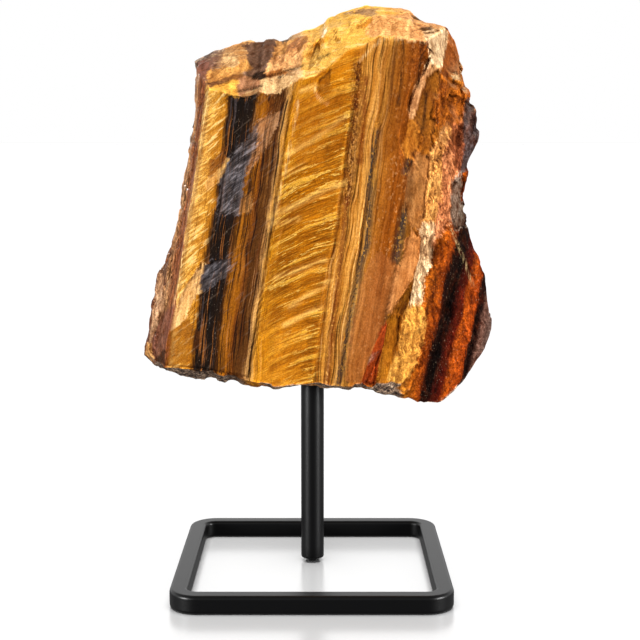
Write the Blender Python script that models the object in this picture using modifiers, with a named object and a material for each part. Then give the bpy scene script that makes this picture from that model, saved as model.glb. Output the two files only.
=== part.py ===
"""Rough tiger's eye: a broken block of banded stone, glued on a post over a square steel base.

Metres, +Z up, +Y away from the viewer. The origin lies on the table, in the middle of the base.
"""
import math
import random

import bpy
import numpy as np
from mathutils import Vector, noise

MM = 0.001
GAP = 0.3 * MM                    # room left between pieces that touch

# Base: a square bar bent into a rounded square
BASE_SIDE = 75.0 * MM
BAR_WIDTH = 4.8 * MM
BAR_HEIGHT = 5.0 * MM
BASE_CORNER_RADIUS = 7.8 * MM     # outer corner
BAR_EDGE_RADIUS = 0.8 * MM
CORNER_STEPS = 8

# Post: a round rod under the stone
POST_DIAMETER = 6.6 * MM
POST_Y = 9.7 * MM
POST_BOTTOM = 1.1 * MM
POST_TOP = 66.0 * MM
POST_CHAMFER = 0.5 * MM

# Support rod: from the rear rail forward, through the foot of the post
ROD_DIAMETER = 3.5 * MM
ROD_BOTTOM = 0.3 * MM
ROD_NOSE_Y = 7.1 * MM
ROD_CHAMFER = 0.6 * MM

ROUND_SIDES = 32

# Stone: five outlines from the front face to the back face, in millimetres as (x, z), seen from
# the front. Each has four sides, and the depth (y) of its corners, in the order bottom left,
# top left, top right, bottom right.
FRONT_FACE = {
    "left": [(-40.1, 60.5), (-39.4, 67), (-37.2, 77.5), (-35.6, 84.5), (-34, 97), (-31.7, 108.5),
             (-29.4, 122), (-27.1, 135.5)],
    "top": [(-27.1, 135.5), (-20.5, 133.3), (-8.9, 134.1), (-3.4, 137.8), (1.1, 139), (4.8, 141),
            (8.8, 144.8), (13, 146.1), (18.2, 148.8), (19.8, 148.2), (21.4, 148.8), (24, 148.1),
            (26.6, 148.4), (30, 147.9)],
    "right": [(30, 147.9), (30.6, 142.7), (26.5, 135), (24.4, 126.6), (22.6, 123), (23.4, 118),
              (24.8, 112), (24, 106), (26, 97.5), (24.7, 94.5), (26.6, 90), (26.9, 86),
              (24.8, 82), (21, 76), (17, 67.4), (14.6, 61), (13.3, 56)],
    "bottom": [(13.3, 56), (4.9, 55.8), (1.6, 56.8), (-3.3, 56), (-10.1, 55.4), (-19.6, 57.7),
               (-30.5, 59.8), (-40.1, 60.5)],
    "depth": (-11.0, -11.6, -12.0, -12.0),
}
SHOULDER = {
    "left": [(-43, 60.3), (-43.6, 67), (-42.3, 76), (-39.5, 86), (-36.6, 98), (-34, 110),
             (-31.4, 124), (-30, 139.5)],
    "top": [(-30, 139.5), (-24, 141), (-15, 141.6), (-7, 143), (-1.5, 146.5), (3, 149), (8, 152),
            (12, 154), (18, 154.6), (24, 153.6), (29, 152.4), (34, 150.3)],
    "right": [(34, 150.3), (34.3, 145), (34.1, 140), (32.6, 133), (31.5, 127), (32.4, 122),
              (31, 112), (30.6, 96), (28.8, 89), (27, 78.4), (23.7, 70), (21.3, 59), (16.5, 54.6)],
    "bottom": [(16.5, 54.6), (6, 54.8), (1.6, 55.6), (-3.3, 55.4), (-10.5, 54.4), (-20, 56.6),
               (-31, 58.4), (-43, 60.3)],
    "depth": (0.0, -3.0, -6.5, -9.0),
}
RIM = {
    "left": [(-45.4, 58), (-48.4, 60.8), (-46.2, 68), (-46.1, 73.7), (-44.2, 84), (-41.9, 87.4),
             (-38.4, 96.5), (-37.2, 102.2), (-35, 116.3), (-32.3, 131.6), (-32.7, 143.7)],
    "top": [(-32.7, 143.7), (-30.3, 145.2), (-27.5, 146.7), (-17.8, 149), (-8.1, 149.7),
            (-0.6, 152.3), (5.5, 155.3), (7.7, 156.7), (12.7, 158), (15.7, 158.3), (20.7, 157.7),
            (26.5, 156.7), (31.5, 154.2), (37.6, 152.6)],
    "right": [(37.6, 152.6), (39.6, 149), (41.4, 142.2), (43.7, 133.6), (46.3, 127.9),
              (46.4, 121), (44.2, 115), (42.2, 105.9), (44, 95.3), (45.1, 91.4), (48.6, 85.5),
              (49.9, 76), (49.8, 69.7), (47.3, 61.2), (41.7, 54.3), (35.7, 48.9), (31.3, 48.7),
              (25.9, 50.3), (18.6, 52.4)],
    "bottom": [(18.6, 52.4), (8, 53.1), (1.6, 53.6), (-2.8, 53.8), (-11.6, 52.1), (-18.5, 53),
               (-28.4, 54.2), (-37.3, 54.6), (-45.4, 58)],
    "depth": (9.0, 8.0, 6.0, -3.0),
}
REAR_RIM = {
    "left": [(-43.5, 62), (-44.5, 72), (-41, 86), (-35.5, 97), (-32.5, 113), (-29, 128),
             (-28, 138)],
    "top": [(-28, 138), (-20, 143.5), (-6, 146), (6, 152), (17, 153), (27, 148), (34, 144)],
    "right": [(34, 144), (40, 133), (43, 121), (39.5, 106), (44, 90), (46.5, 76), (43, 62),
              (33, 54), (22, 54.5)],
    "bottom": [(22, 54.5), (8, 53.6), (-6, 54), (-20, 56.5), (-33, 58), (-43.5, 62)],
    "depth": (23.0, 21.0, 20.0, 22.0),
}
REAR_FACE = {
    "left": [(-32, 69), (-33, 84), (-27, 103), (-21, 127)],
    "top": [(-21, 127), (-8, 135), (9, 141), (24, 136)],
    "right": [(24, 136), (31, 119), (29, 100), (36, 84), (33, 68), (22, 63)],
    "bottom": [(22, 63), (4, 60), (-14, 65), (-32, 69)],
    "depth": (29.0, 28.0, 26.5, 31.0),
}
ACROSS = 34                       # mesh cells across the faces
UPWARD = 46                       # and up them
RINGS_BETWEEN = (7, 8, 9, 7)      # mesh rings between one outline and the next

# A step across the front face: the stone left of this line lies deeper. (x, z) in mm.
LEDGE_TOP = (-4.0, 137.0)
LEDGE_FOOT = (-17.0, 56.0)
LEDGE_DEPTH = 1.1
LEDGE_RUN = 0.5

# Furrows along the layers, in mm: upper end (x, z), lower end (x, z), half width, depth
FURROWS = [
    ((12.4, 140.0), (1.0, 56.5), 0.8, 0.5),
    ((18.0, 126.0), (7.4, 56.5), 0.7, 0.45),
    ((23.8, 104.0), (21.5, 90.0), 1.0, 0.5),
    ((42.0, 91.0), (32.0, 53.0), 1.6, 0.9),
    ((47.0, 76.0), (43.0, 57.0), 1.2, 0.8),
    ((25.5, 82.0), (14.5, 57.0), 1.1, 0.8),
]

# Flake scars on the front, in mm: centre (x, z), half length, half width, depth; then in degrees,
# how far the long axis leans from upright, and how far the scar is tipped about that axis.
FRONT_SCARS = [
    (-14.5, 125.5, 9.0, 4.2, 1.1, 32.0, 14.0),
    (-21.0, 116.0, 10.0, 4.6, 1.3, 26.0, 14.0),
    (-26.5, 83.5, 8.0, 4.0, 0.9, 34.0, 12.0),
    (-30.0, 76.0, 8.0, 4.2, 1.1, 30.0, 12.0),
    (-17.5, 104.0, 5.0, 3.4, 1.0, 10.0, 0.0),
    (0.5, 135.5, 4.8, 4.0, 0.8, -40.0, 0.0),
    (-25.0, 114.5, 3.4, 2.6, 0.7, 0.0, 0.0),
    (28.6, 134.0, 12.0, 3.6, 2.0, 12.0, 0.0),
    (28.2, 118.0, 10.0, 3.8, 2.0, -4.0, 0.0),
    (27.6, 101.0, 12.0, 3.2, 1.6, 4.0, 0.0),
    (21.5, 66.0, 14.0, 3.4, 1.2, 16.0, 0.0),
    (39.0, 124.0, 14.0, 6.0, 1.9, 8.0, 0.0),
    (37.5, 143.0, 9.0, 4.4, 1.2, -12.0, 0.0),
    (37.0, 104.0, 9.0, 5.0, 1.3, 6.0, 0.0),
    (34.0, 93.0, 7.0, 4.6, 1.2, 24.0, 0.0),
    (44.0, 84.0, 8.0, 4.5, 1.0, 14.0, 0.0),
    (-20.0, 141.0, 6.0, 9.0, 1.0, 80.0, 0.0),
    (-3.0, 145.0, 5.0, 10.0, 1.2, 62.0, 0.0),
    (-42.5, 72.0, 10.0, 3.6, 1.0, 8.0, 0.0),
    (-38.0, 92.0, 9.0, 3.2, 0.9, 14.0, 0.0),
]
SKIN_CURVE = 0.72                 # how flat a scar is: near 1, the cap of a wide ball
WOBBLE = 1.3                      # mm, how uneven the scars' rims run
WOBBLE_SCALE = 0.16               # waves per mm
NOISE_SEED = 5

# Broken faces round the sides and behind: how many, their radius and their depth in mm
CHIPS = 90
CHIP_RADIUS = (14.0, 60.0)
CHIP_DEPTH = (0.7, 2.4)
RIM_SHARE = 0.15                  # share of a chip's cut at the rim, growing to 1 at the rear rim
CHIP_SEED = 11

# Small steps where the stone parts along its layers, which stand across X and lean to the right
LAYER_LEAN = 0.15                 # run to the right per mm of height
LAYER_LEAN_RIGHT = 0.004          # and more of it per mm to the right of the ridge
RIDGE_X = 24.0
LEVEL = 97.0                      # mm, the height at which a layer's place is its x
STEP_WIDTH = 3.2                  # mm
STEP_HEIGHT = 0.55                # mm, on the rough faces; the front face has FACE_STEPS of it
FACE_STEPS = 0.2
STEP_SEED = 5

ROUGHNESS = 0.45                  # mm, rough sides and back
FACE_ROUGHNESS = 0.16             # mm, the smoother front face
ROUGH_SCALE = 0.11                # waves per mm
STONE_TRIANGLES = 7700


def clear_scene():
    for old in list(bpy.data.objects):
        bpy.data.objects.remove(old, do_unlink=True)


def new_collection(name):
    group = bpy.data.collections.new(name)
    bpy.context.scene.collection.children.link(group)
    return group


def put_in(obj, group):
    for other in list(obj.users_collection):
        other.objects.unlink(obj)
    group.objects.link(obj)
    return obj


def material(name, colour, roughness, metallic):
    mat = bpy.data.materials.new(name)
    mat.use_nodes = True
    shader = mat.node_tree.nodes["Principled BSDF"]
    shader.inputs["Base Color"].default_value = (*colour, 1.0)
    shader.inputs["Roughness"].default_value = roughness
    shader.inputs["Metallic"].default_value = metallic
    return mat


def cylinder(name, radius, start, end, group):
    """A round rod between two points."""
    start, end = Vector(start), Vector(end)
    axis = end - start
    bpy.ops.mesh.primitive_cylinder_add(vertices=ROUND_SIDES, radius=radius, depth=axis.length)
    rod = bpy.context.object
    rod.name = rod.data.name = name
    rod.location = (start + end) / 2
    rod.rotation_euler = axis.to_track_quat("Z", "Y").to_euler()
    rod.data.shade_smooth()
    rod.data.set_sharp_from_angle(angle=math.radians(40))
    return put_in(rod, group)


def chamfer_ends(rod, width):
    bevel = rod.modifiers.new("end_chamfer", "BEVEL")
    bevel.width = width
    bevel.segments = 2
    bevel.limit_method = "ANGLE"
    bevel.angle_limit = math.radians(60)


def cut(obj, cutter):
    cutter.hide_render = True
    cutter.display_type = "WIRE"
    boolean = obj.modifiers.new("cut_" + cutter.name, "BOOLEAN")
    boolean.operation = "DIFFERENCE"
    boolean.solver = "EXACT"
    boolean.object = cutter


def add_rounded_square(curve, half, radius):
    """A closed outline of a rounded square, with its corner arcs in CORNER_STEPS steps."""
    points = []
    for quarter in range(4):
        turn = quarter * math.pi / 2
        middle = half - radius
        cx = math.copysign(middle, math.cos(turn + math.pi / 4))
        cy = math.copysign(middle, math.sin(turn + math.pi / 4))
        for step in range(CORNER_STEPS + 1):
            angle = turn + step / CORNER_STEPS * math.pi / 2
            points.append((cx + radius * math.cos(angle), cy + radius * math.sin(angle)))
    spline = curve.splines.new("POLY")
    spline.points.add(len(points) - 1)
    for point, (x, y) in zip(spline.points, points):
        point.co = (x, y, 0.0, 1.0)
    spline.use_cyclic_u = True


def make_base_ring(group, finish):
    curve = bpy.data.curves.new("base_ring", "CURVE")
    curve.dimensions = "2D"
    curve.fill_mode = "BOTH"
    curve.extrude = BAR_HEIGHT / 2
    add_rounded_square(curve, BASE_SIDE / 2, BASE_CORNER_RADIUS)
    add_rounded_square(curve, BASE_SIDE / 2 - BAR_WIDTH, BASE_CORNER_RADIUS - BAR_WIDTH)
    curve.materials.append(finish)
    ring = bpy.data.objects.new("base_ring", curve)
    ring.location.z = BAR_HEIGHT / 2
    group.objects.link(ring)
    weld = ring.modifiers.new("close_caps", "WELD")
    weld.merge_threshold = 0.02 * MM
    bevel = ring.modifiers.new("round_edges", "BEVEL")
    bevel.width = BAR_EDGE_RADIUS
    bevel.segments = 3
    bevel.limit_method = "ANGLE"
    bevel.angle_limit = math.radians(60)


def make_post(group, cutters, finish):
    radius = POST_DIAMETER / 2
    post = cylinder("post", radius, (0, POST_Y, POST_BOTTOM), (0, POST_Y, POST_TOP), group)
    post.data.materials.append(finish)
    chamfer_ends(post, POST_CHAMFER)
    rod_z = ROD_BOTTOM + ROD_DIAMETER / 2
    reach = POST_DIAMETER
    notch = cylinder("post_notch", ROD_DIAMETER / 2 + GAP, (0, POST_Y - reach, rod_z),
                     (0, POST_Y + reach, rod_z), cutters)
    cut(post, notch)


def make_support_rod(group, finish):
    rod_z = ROD_BOTTOM + ROD_DIAMETER / 2
    rear = BASE_SIDE / 2 - BAR_WIDTH - GAP
    rod = cylinder("support_rod", ROD_DIAMETER / 2, (0, ROD_NOSE_Y, rod_z), (0, rear, rod_z), group)
    rod.data.materials.append(finish)
    chamfer_ends(rod, ROD_CHAMFER)


def resample(points, count):
    """Evenly spaced points along a polyline."""
    points = np.array(points, dtype=float)
    steps = np.linalg.norm(np.diff(points, axis=0), axis=1)
    along = np.concatenate([[0.0], np.cumsum(steps)])
    wanted = np.linspace(0.0, along[-1], count + 1)
    return np.stack([np.interp(wanted, along, points[:, axis]) for axis in range(2)], axis=1)


def outline_sides(outline):
    """The four sides of an outline as rows of (x, y, z), all in the sense of the outline."""
    corners = outline["depth"]
    sides = []
    for number, (side, count) in enumerate(zip(("left", "top", "right", "bottom"),
                                               (UPWARD, ACROSS, UPWARD, ACROSS))):
        flat = resample(outline[side], count)
        depth = np.linspace(corners[number], corners[(number + 1) % 4], count + 1)
        sides.append(np.stack([flat[:, 0], depth, flat[:, 1]], axis=1))
    return sides


def outline_ring(outline):
    """All the points of an outline, once round."""
    return np.concatenate([side[:-1] for side in outline_sides(outline)])


def cap_grid(outline):
    """A patch over an outline, blended from its four sides (a Coons patch)."""
    left, top, right, bottom = outline_sides(outline)
    right, bottom = right[::-1], bottom[::-1]
    up = np.linspace(0.0, 1.0, UPWARD + 1)[:, None, None]
    across = np.linspace(0.0, 1.0, ACROSS + 1)[None, :, None]
    sides = (1 - across) * left[:, None] + across * right[:, None]
    ends = (1 - up) * bottom[None] + up * top[None]
    corners = ((1 - up) * ((1 - across) * left[0] + across * right[0])
               + up * ((1 - across) * left[-1] + across * right[-1]))
    return sides + ends - corners


def loft_block():
    """The block's points, its faces, and how far round to the back each point lies:
    -1 on the front face, 0 to 4 from its edge to the rear face's edge, 5 on the rear face."""
    outlines = [FRONT_FACE, SHOULDER, RIM, REAR_RIM, REAR_FACE]
    rings = [outline_ring(outline) for outline in outlines]
    rows, backness = [rings[0]], [0.0]
    for number, (start, end, count) in enumerate(zip(rings, rings[1:], RINGS_BETWEEN)):
        for step in range(1, count + 1):
            rows.append(start + (end - start) * step / count)
            backness.append(number + step / count)
    round_count = len(rings[0])
    points = np.concatenate(rows)
    backness = np.repeat(backness, round_count)
    faces = []
    for row in range(len(rows) - 1):
        for i in range(round_count):
            j = (i + 1) % round_count
            low, high = row * round_count, (row + 1) * round_count
            faces.append((low + i, low + j, high + j, high + i))
    for outline, first, rear in ((FRONT_FACE, 0, False),
                                 (REAR_FACE, (len(rows) - 1) * round_count, True)):
        grid = cap_grid(outline)
        number = np.empty((UPWARD + 1, ACROSS + 1), dtype=int)
        around = first + np.arange(round_count)
        number[:, 0] = around[:UPWARD + 1]
        number[-1, :] = around[UPWARD:UPWARD + ACROSS + 1]
        number[::-1, -1] = around[UPWARD + ACROSS:2 * UPWARD + ACROSS + 1]
        number[0, :] = np.append(around[2 * UPWARD + ACROSS:], first)[::-1]
        inner = grid[1:-1, 1:-1].reshape(-1, 3)
        number[1:-1, 1:-1] = np.arange(len(inner)).reshape(UPWARD - 1, -1) + len(points)
        points = np.concatenate([points, inner])
        backness = np.concatenate([backness, np.full(len(inner), 5.0 if rear else -1.0)])
        for row in range(UPWARD):
            for column in range(ACROSS):
                quad = (number[row, column], number[row, column + 1],
                        number[row + 1, column + 1], number[row + 1, column])
                faces.append(quad[::-1] if rear else quad)
    return points, [tuple(int(corner) for corner in face) for face in faces], backness


def wobbled(points):
    """The points, shifted by slow noise, so that a scar's rim isn't a plain oval."""
    noise.seed_set(NOISE_SEED)
    shifts = [noise.noise_vector(Vector(point) * WOBBLE_SCALE) for point in points]
    return points + WOBBLE * np.array(shifts)


def scoop(points, felt, centre, axes, radii):
    """Push what lies inside an ellipsoid out to its skin. Rows of axes are its directions."""
    local = (felt - centre) @ axes.T / radii
    reach = np.linalg.norm(local, axis=1)
    inside = (reach < 1.0) & (reach > 1e-6)
    push = local[inside] * (1 / reach[inside, None] - 1) * radii
    points[inside] += push @ axes
    felt[inside] += push @ axes


def cut_front_scars(points, felt, normals):
    """Shallow flake scars: each is a wide ellipsoid that only dips into the skin."""
    front = np.flatnonzero(normals[:, 1] < -0.15)
    for x, z, half_length, half_width, depth, lean, tip in FRONT_SCARS:
        away = np.hypot(points[front, 0] - x, points[front, 2] - z)
        spot = front[int(away.argmin())]
        out = normals[spot]
        turn, tilt = math.radians(lean), math.radians(tip)
        upright = np.array([math.sin(turn), 0.0, math.cos(turn)])
        long_axis = upright - out * upright.dot(out)
        long_axis /= np.linalg.norm(long_axis)
        side_axis = np.cross(out, long_axis)
        out = out * math.cos(tilt) + side_axis * math.sin(tilt)
        axes = np.array([np.cross(out, long_axis), out, long_axis])
        thickness = depth / (1 - SKIN_CURVE)
        stretch = 1 / math.sqrt(1 - SKIN_CURVE ** 2)
        radii = np.array([half_width * stretch, thickness, half_length * stretch])
        scoop(points, felt, points[spot] + out * thickness * SKIN_CURVE, axes, radii)


def chip_edges(points, felt, normals, backness):
    """Round flakes knocked off the edges at the sides and the back."""
    chance = random.Random(CHIP_SEED)
    rim_row, rear_row, last_row = np.cumsum(RINGS_BETWEEN)[1:]
    round_count = 2 * (UPWARD + ACROSS)
    whole = points.copy()
    for _ in range(CHIPS):
        row = chance.randrange(rim_row, rear_row + 3)
        if row > rear_row:
            row = last_row
        spot = row * round_count + chance.randrange(round_count)
        radius = chance.uniform(*CHIP_RADIUS)
        depth = chance.uniform(*CHIP_DEPTH)
        centre = points[spot] + normals[spot] * (radius - depth)
        scoop(points, felt, centre, np.eye(3), np.full(3, radius))
    to_rear = np.clip(backness - 2, 0.0, 1.0)
    share = (RIM_SHARE + (1 - RIM_SHARE) * to_rear) * (backness >= 2)
    points[:] = whole + (points - whole) * share[:, None]


def cut_furrows(points, face_share):
    """Grooves along the layers, where a softer one has broken out."""
    for (top_x, top_z), (foot_x, foot_z), half_width, depth in FURROWS:
        slope = (top_x - foot_x) / (top_z - foot_z)
        aside = np.abs(points[:, 0] - foot_x - (points[:, 2] - foot_z) * slope) / half_width
        ends = np.minimum(top_z - points[:, 2], points[:, 2] - foot_z) / (3 * half_width) + 1
        share = np.clip(1 - aside ** 2, 0, 1) * np.clip(ends, 0, 1)
        points[:, 1] += depth * share * face_share


def step_ledge(points, face_share):
    """Lower the front face left of the ledge line."""
    (top_x, top_z), (foot_x, foot_z) = LEDGE_TOP, LEDGE_FOOT
    line = foot_x + (points[:, 2] - foot_z) * (top_x - foot_x) / (top_z - foot_z)
    left_of = np.clip((line - points[:, 0]) / LEDGE_RUN, 0.0, 1.0)
    points[:, 1] += LEDGE_DEPTH * left_of * face_share


def layer_place(points):
    """Where a point lies across the layers, in mm: the x at which its layer crosses LEVEL."""
    lean = LAYER_LEAN + LAYER_LEAN_RIGHT * np.maximum(points[:, 0] - RIDGE_X, 0.0)
    return points[:, 0] - (points[:, 2] - LEVEL) * lean


def step_layers(points, normals, face_share):
    """Shift each layer in or out a little, all along it."""
    layer = layer_place(points) / STEP_WIDTH
    chance = random.Random(STEP_SEED)
    offsets = np.array([chance.uniform(-1.0, 1.0) for _ in range(64)])
    number = np.floor(layer).astype(int)
    within = layer - number
    rise = np.clip((within - 0.5) / 0.3 + 0.5, 0.0, 1.0)
    offset = offsets[number % 64] * (1 - rise) + offsets[(number + 1) % 64] * rise
    crossing = 1 - np.abs(normals[:, 0])
    share = crossing * (1 - (1 - FACE_STEPS) * face_share)
    points += normals * (STEP_HEIGHT * offset * share)[:, None]


def roughen(points, normals):
    for number, (point, normal) in enumerate(zip(points, normals)):
        spot = Vector(point) * ROUGH_SCALE
        spot.z *= 0.6
        amount = noise.fractal(spot, 0.9, 2.1, 3)
        on_face = point[1] < -9.0
        points[number] += normal * amount * (FACE_ROUGHNESS if on_face else ROUGHNESS)


def vertex_normals(mesh):
    flat = np.empty(len(mesh.vertices) * 3)
    mesh.vertex_normals.foreach_get("vector", flat)
    return flat.reshape(-1, 3)


def make_stone(group, cutters, finish):
    points, faces, backness = loft_block()
    mesh = bpy.data.meshes.new("stone")
    mesh.from_pydata(points.tolist(), [], faces)
    normals = vertex_normals(mesh)
    face_share = np.clip(-normals[:, 1] * 4 - 2.6, 0, 1)
    felt = wobbled(points)
    chip_edges(points, felt, normals, backness)
    cut_front_scars(points, felt, normals)
    step_ledge(points, face_share)
    cut_furrows(points, face_share)
    step_layers(points, normals, face_share)
    mesh.vertices.foreach_set("co", points.ravel())
    mesh.update()
    roughen(points, vertex_normals(mesh))
    mesh.vertices.foreach_set("co", (points * MM).ravel())
    mesh.update()
    mesh.materials.append(finish)
    stone = bpy.data.objects.new("stone", mesh)
    group.objects.link(stone)
    thin = stone.modifiers.new("thin_out", "DECIMATE")
    thin.ratio = STONE_TRIANGLES / (2 * len(faces))
    socket = cylinder("post_socket", POST_DIAMETER / 2 + GAP, (0, POST_Y, POST_TOP / 2),
                      (0, POST_Y, POST_TOP + GAP), cutters)
    cut(stone, socket)


def main():
    clear_scene()
    parts = new_collection("rough_tigers_eye")
    cutters = new_collection("cutters")
    black_coat = {"colour": (0.012, 0.012, 0.013), "roughness": 0.42, "metallic": 0.0}
    make_base_ring(parts, material("base_black", **black_coat))
    make_support_rod(parts, material("rod_black", **black_coat))
    make_post(parts, cutters, material("post_black", **black_coat))
    stone_finish = material("tigers_eye", (0.45, 0.2, 0.03), 0.35, 0.0)
    make_stone(parts, cutters, stone_finish)


main()
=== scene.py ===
"""The looks of a rough tiger's eye on its stand: the stone's broken skin and silky layers, the
black powder coat, the table and the studio light. Metres, +Z up, -Y towards the viewer.
Stone shapes are worked out in millimetres and scaled once, when their mesh is made.
"""
import math
import random

import bmesh
import bpy
import numpy as np
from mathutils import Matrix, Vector, kdtree, noise


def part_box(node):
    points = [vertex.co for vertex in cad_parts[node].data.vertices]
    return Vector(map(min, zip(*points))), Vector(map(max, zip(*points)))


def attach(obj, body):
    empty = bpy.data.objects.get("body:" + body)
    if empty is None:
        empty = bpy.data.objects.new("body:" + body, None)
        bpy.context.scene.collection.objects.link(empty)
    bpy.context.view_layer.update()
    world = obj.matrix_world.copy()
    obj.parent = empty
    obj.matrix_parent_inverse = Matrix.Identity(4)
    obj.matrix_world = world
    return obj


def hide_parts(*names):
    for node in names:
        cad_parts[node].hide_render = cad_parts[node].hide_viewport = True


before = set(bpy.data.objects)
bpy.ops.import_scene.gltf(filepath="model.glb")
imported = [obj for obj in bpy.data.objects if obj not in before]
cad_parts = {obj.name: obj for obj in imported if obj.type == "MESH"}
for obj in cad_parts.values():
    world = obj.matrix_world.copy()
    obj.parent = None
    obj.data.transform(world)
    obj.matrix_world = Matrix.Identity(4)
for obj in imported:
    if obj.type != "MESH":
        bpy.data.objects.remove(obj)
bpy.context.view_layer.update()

MM = 0.001
TINY = 1e-9                       # stands in for 0 where something is divided by it

# ---------------------------------------------------------------- stand, in metres
BASE_LOW, BASE_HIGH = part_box("base_ring")
POST_LOW, POST_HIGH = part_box("post")
ROD_LOW, ROD_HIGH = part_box("support_rod")
BAR_WIDTH = 4.8 * MM
BASE_CORNER_RADIUS = 7.8 * MM
BAR_EDGE_RADIUS = 0.9 * MM
QUARTERS = ((1, 1), (-1, 1), (-1, -1), (1, -1))
EDGE_STEPS = 5
CORNER_STEPS = 16
FLAT_ROW = 0.12 * MM              # how close to a rounded edge its flat gets one more row
BAR_SHARP_ANGLE = 40.0            # degrees
ROUND_SIDES = 64
POST_CHAMFER = 0.5 * MM
ROD_CHAMFER = 0.6 * MM
WELD_BEADS = 15
WELD_BEAD_RADIUS = 0.5 * MM
WELD_BEAD_SIZES = (0.8, 1.15)     # the smallest and the largest, as a share of that radius
WELD_START, WELD_SWEEP = -30.0, 240.0     # degrees over the rod, clear of the table
WELD_SEED = 3

# ---------------------------------------------------------------- stone outlines, in millimetres
# Five outlines from the front face to the back face, as (x, z) seen from the front. Each has four
# sides, and the depth (y) of its corners: bottom left, top left, top right, bottom right.
FRONT_FACE = {
    "left": [(-40.1, 60.5), (-39.4, 67), (-37.2, 77.5), (-35.6, 84.5), (-34, 97), (-31.7, 108.5),
             (-29.4, 122), (-27.1, 135.5)],
    "top": [(-27.1, 135.5), (-20.5, 133.3), (-8.9, 134.1), (-3.4, 137.8), (1.1, 139), (4.8, 141),
            (8.8, 144.8), (13, 146.1), (18.2, 148.8), (19.8, 148.2), (21.4, 148.8), (24, 148.1),
            (26.6, 148.4), (30, 147.9)],
    "right": [(30, 147.9), (30.6, 142.7), (26.5, 135), (24.4, 126.6), (22.6, 123), (23.4, 118),
              (24.8, 112), (24, 106), (26, 97.5), (24.7, 94.5), (26.6, 90), (26.9, 86),
              (24.8, 82), (21, 76), (17, 67.4), (14.6, 61), (13.3, 56)],
    "bottom": [(13.3, 56), (4.9, 55.8), (1.6, 56.8), (-3.3, 56), (-10.1, 55.4), (-19.6, 57.7),
               (-30.5, 59.8), (-40.1, 60.5)],
    "depth": (-11.0, -11.6, -12.0, -12.0),
}
SHOULDER = {
    "left": [(-43, 60.3), (-43.6, 67), (-42.3, 76), (-39.5, 86), (-36.6, 98), (-34, 110),
             (-31.4, 124), (-30, 139.5)],
    "top": [(-30, 139.5), (-24, 141), (-15, 141.6), (-7, 143), (-1.5, 146.5), (3, 149), (8, 152),
            (12, 154), (18, 154.6), (24, 153.6), (29, 152.4), (34, 150.3)],
    "right": [(34, 150.3), (34.3, 145), (34.1, 140), (32.6, 133), (31.5, 127), (32.4, 122),
              (31, 112), (30.6, 96), (28.8, 89), (27, 78.4), (23.7, 70), (21.3, 59), (16.5, 54.6)],
    "bottom": [(16.5, 54.6), (6, 54.8), (1.6, 55.6), (-3.3, 55.4), (-10.5, 54.4), (-20, 56.6),
               (-31, 58.4), (-43, 60.3)],
    "depth": (0.0, -3.0, -6.5, -9.0),
}
RIM = {
    "left": [(-45.4, 58), (-48.4, 60.8), (-46.2, 68), (-46.1, 73.7), (-44.2, 84), (-41.9, 87.4),
             (-38.4, 96.5), (-37.2, 102.2), (-35, 116.3), (-32.3, 131.6), (-32.7, 143.7)],
    "top": [(-32.7, 143.7), (-30.3, 145.2), (-27.5, 146.7), (-17.8, 149), (-8.1, 149.7),
            (-0.6, 152.3), (5.5, 155.3), (7.7, 156.7), (12.7, 158), (15.7, 158.3), (20.7, 157.7),
            (26.5, 156.7), (31.5, 154.2), (37.6, 152.6)],
    "right": [(37.6, 152.6), (39.6, 149), (41.4, 142.2), (43.7, 133.6), (46.3, 127.9),
              (46.4, 121), (44.2, 115), (42.2, 105.9), (44, 95.3), (45.1, 91.4), (48.6, 85.5),
              (49.9, 76), (49.8, 69.7), (47.3, 61.2), (41.7, 54.3), (35.7, 48.9), (31.3, 48.7),
              (25.9, 50.3), (18.6, 52.4)],
    "bottom": [(18.6, 52.4), (8, 53.1), (1.6, 53.6), (-2.8, 53.8), (-11.6, 52.1), (-18.5, 53),
               (-28.4, 54.2), (-37.3, 54.6), (-45.4, 58)],
    "depth": (9.0, 8.0, 6.0, -3.0),
}
REAR_RIM = {
    "left": [(-43.5, 62), (-44.5, 72), (-41, 86), (-35.5, 97), (-32.5, 113), (-29, 128),
             (-28, 138)],
    "top": [(-28, 138), (-20, 143.5), (-6, 146), (6, 152), (17, 153), (27, 148), (34, 144)],
    "right": [(34, 144), (40, 133), (43, 121), (39.5, 106), (44, 90), (46.5, 76), (43, 62),
              (33, 54), (22, 54.5)],
    "bottom": [(22, 54.5), (8, 53.6), (-6, 54), (-20, 56.5), (-33, 58), (-43.5, 62)],
    "depth": (23.0, 21.0, 20.0, 22.0),
}
REAR_FACE = {
    "left": [(-32, 69), (-33, 84), (-27, 103), (-21, 127)],
    "top": [(-21, 127), (-8, 135), (9, 141), (24, 136)],
    "right": [(24, 136), (31, 119), (29, 100), (36, 84), (33, 68), (22, 63)],
    "bottom": [(22, 63), (4, 60), (-14, 65), (-32, 69)],
    "depth": (29.0, 28.0, 26.5, 31.0),
}
REFINE = 3                        # this mesh is so many times finer than the CAD solid's
ACROSS, UPWARD = 34 * REFINE, 46 * REFINE
RINGS_BETWEEN = tuple(REFINE * rings for rings in (7, 8, 9, 7))

LEDGE_TOP = (-4.0, 137.0)         # the face left of this line lies deeper
LEDGE_FOOT = (-17.0, 56.0)
LEDGE_DEPTH = 1.1
LEDGE_RUN = 0.5
LEDGE_END = 135.5                 # towards this height it runs out
LEDGE_FADE = 4.0

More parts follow.
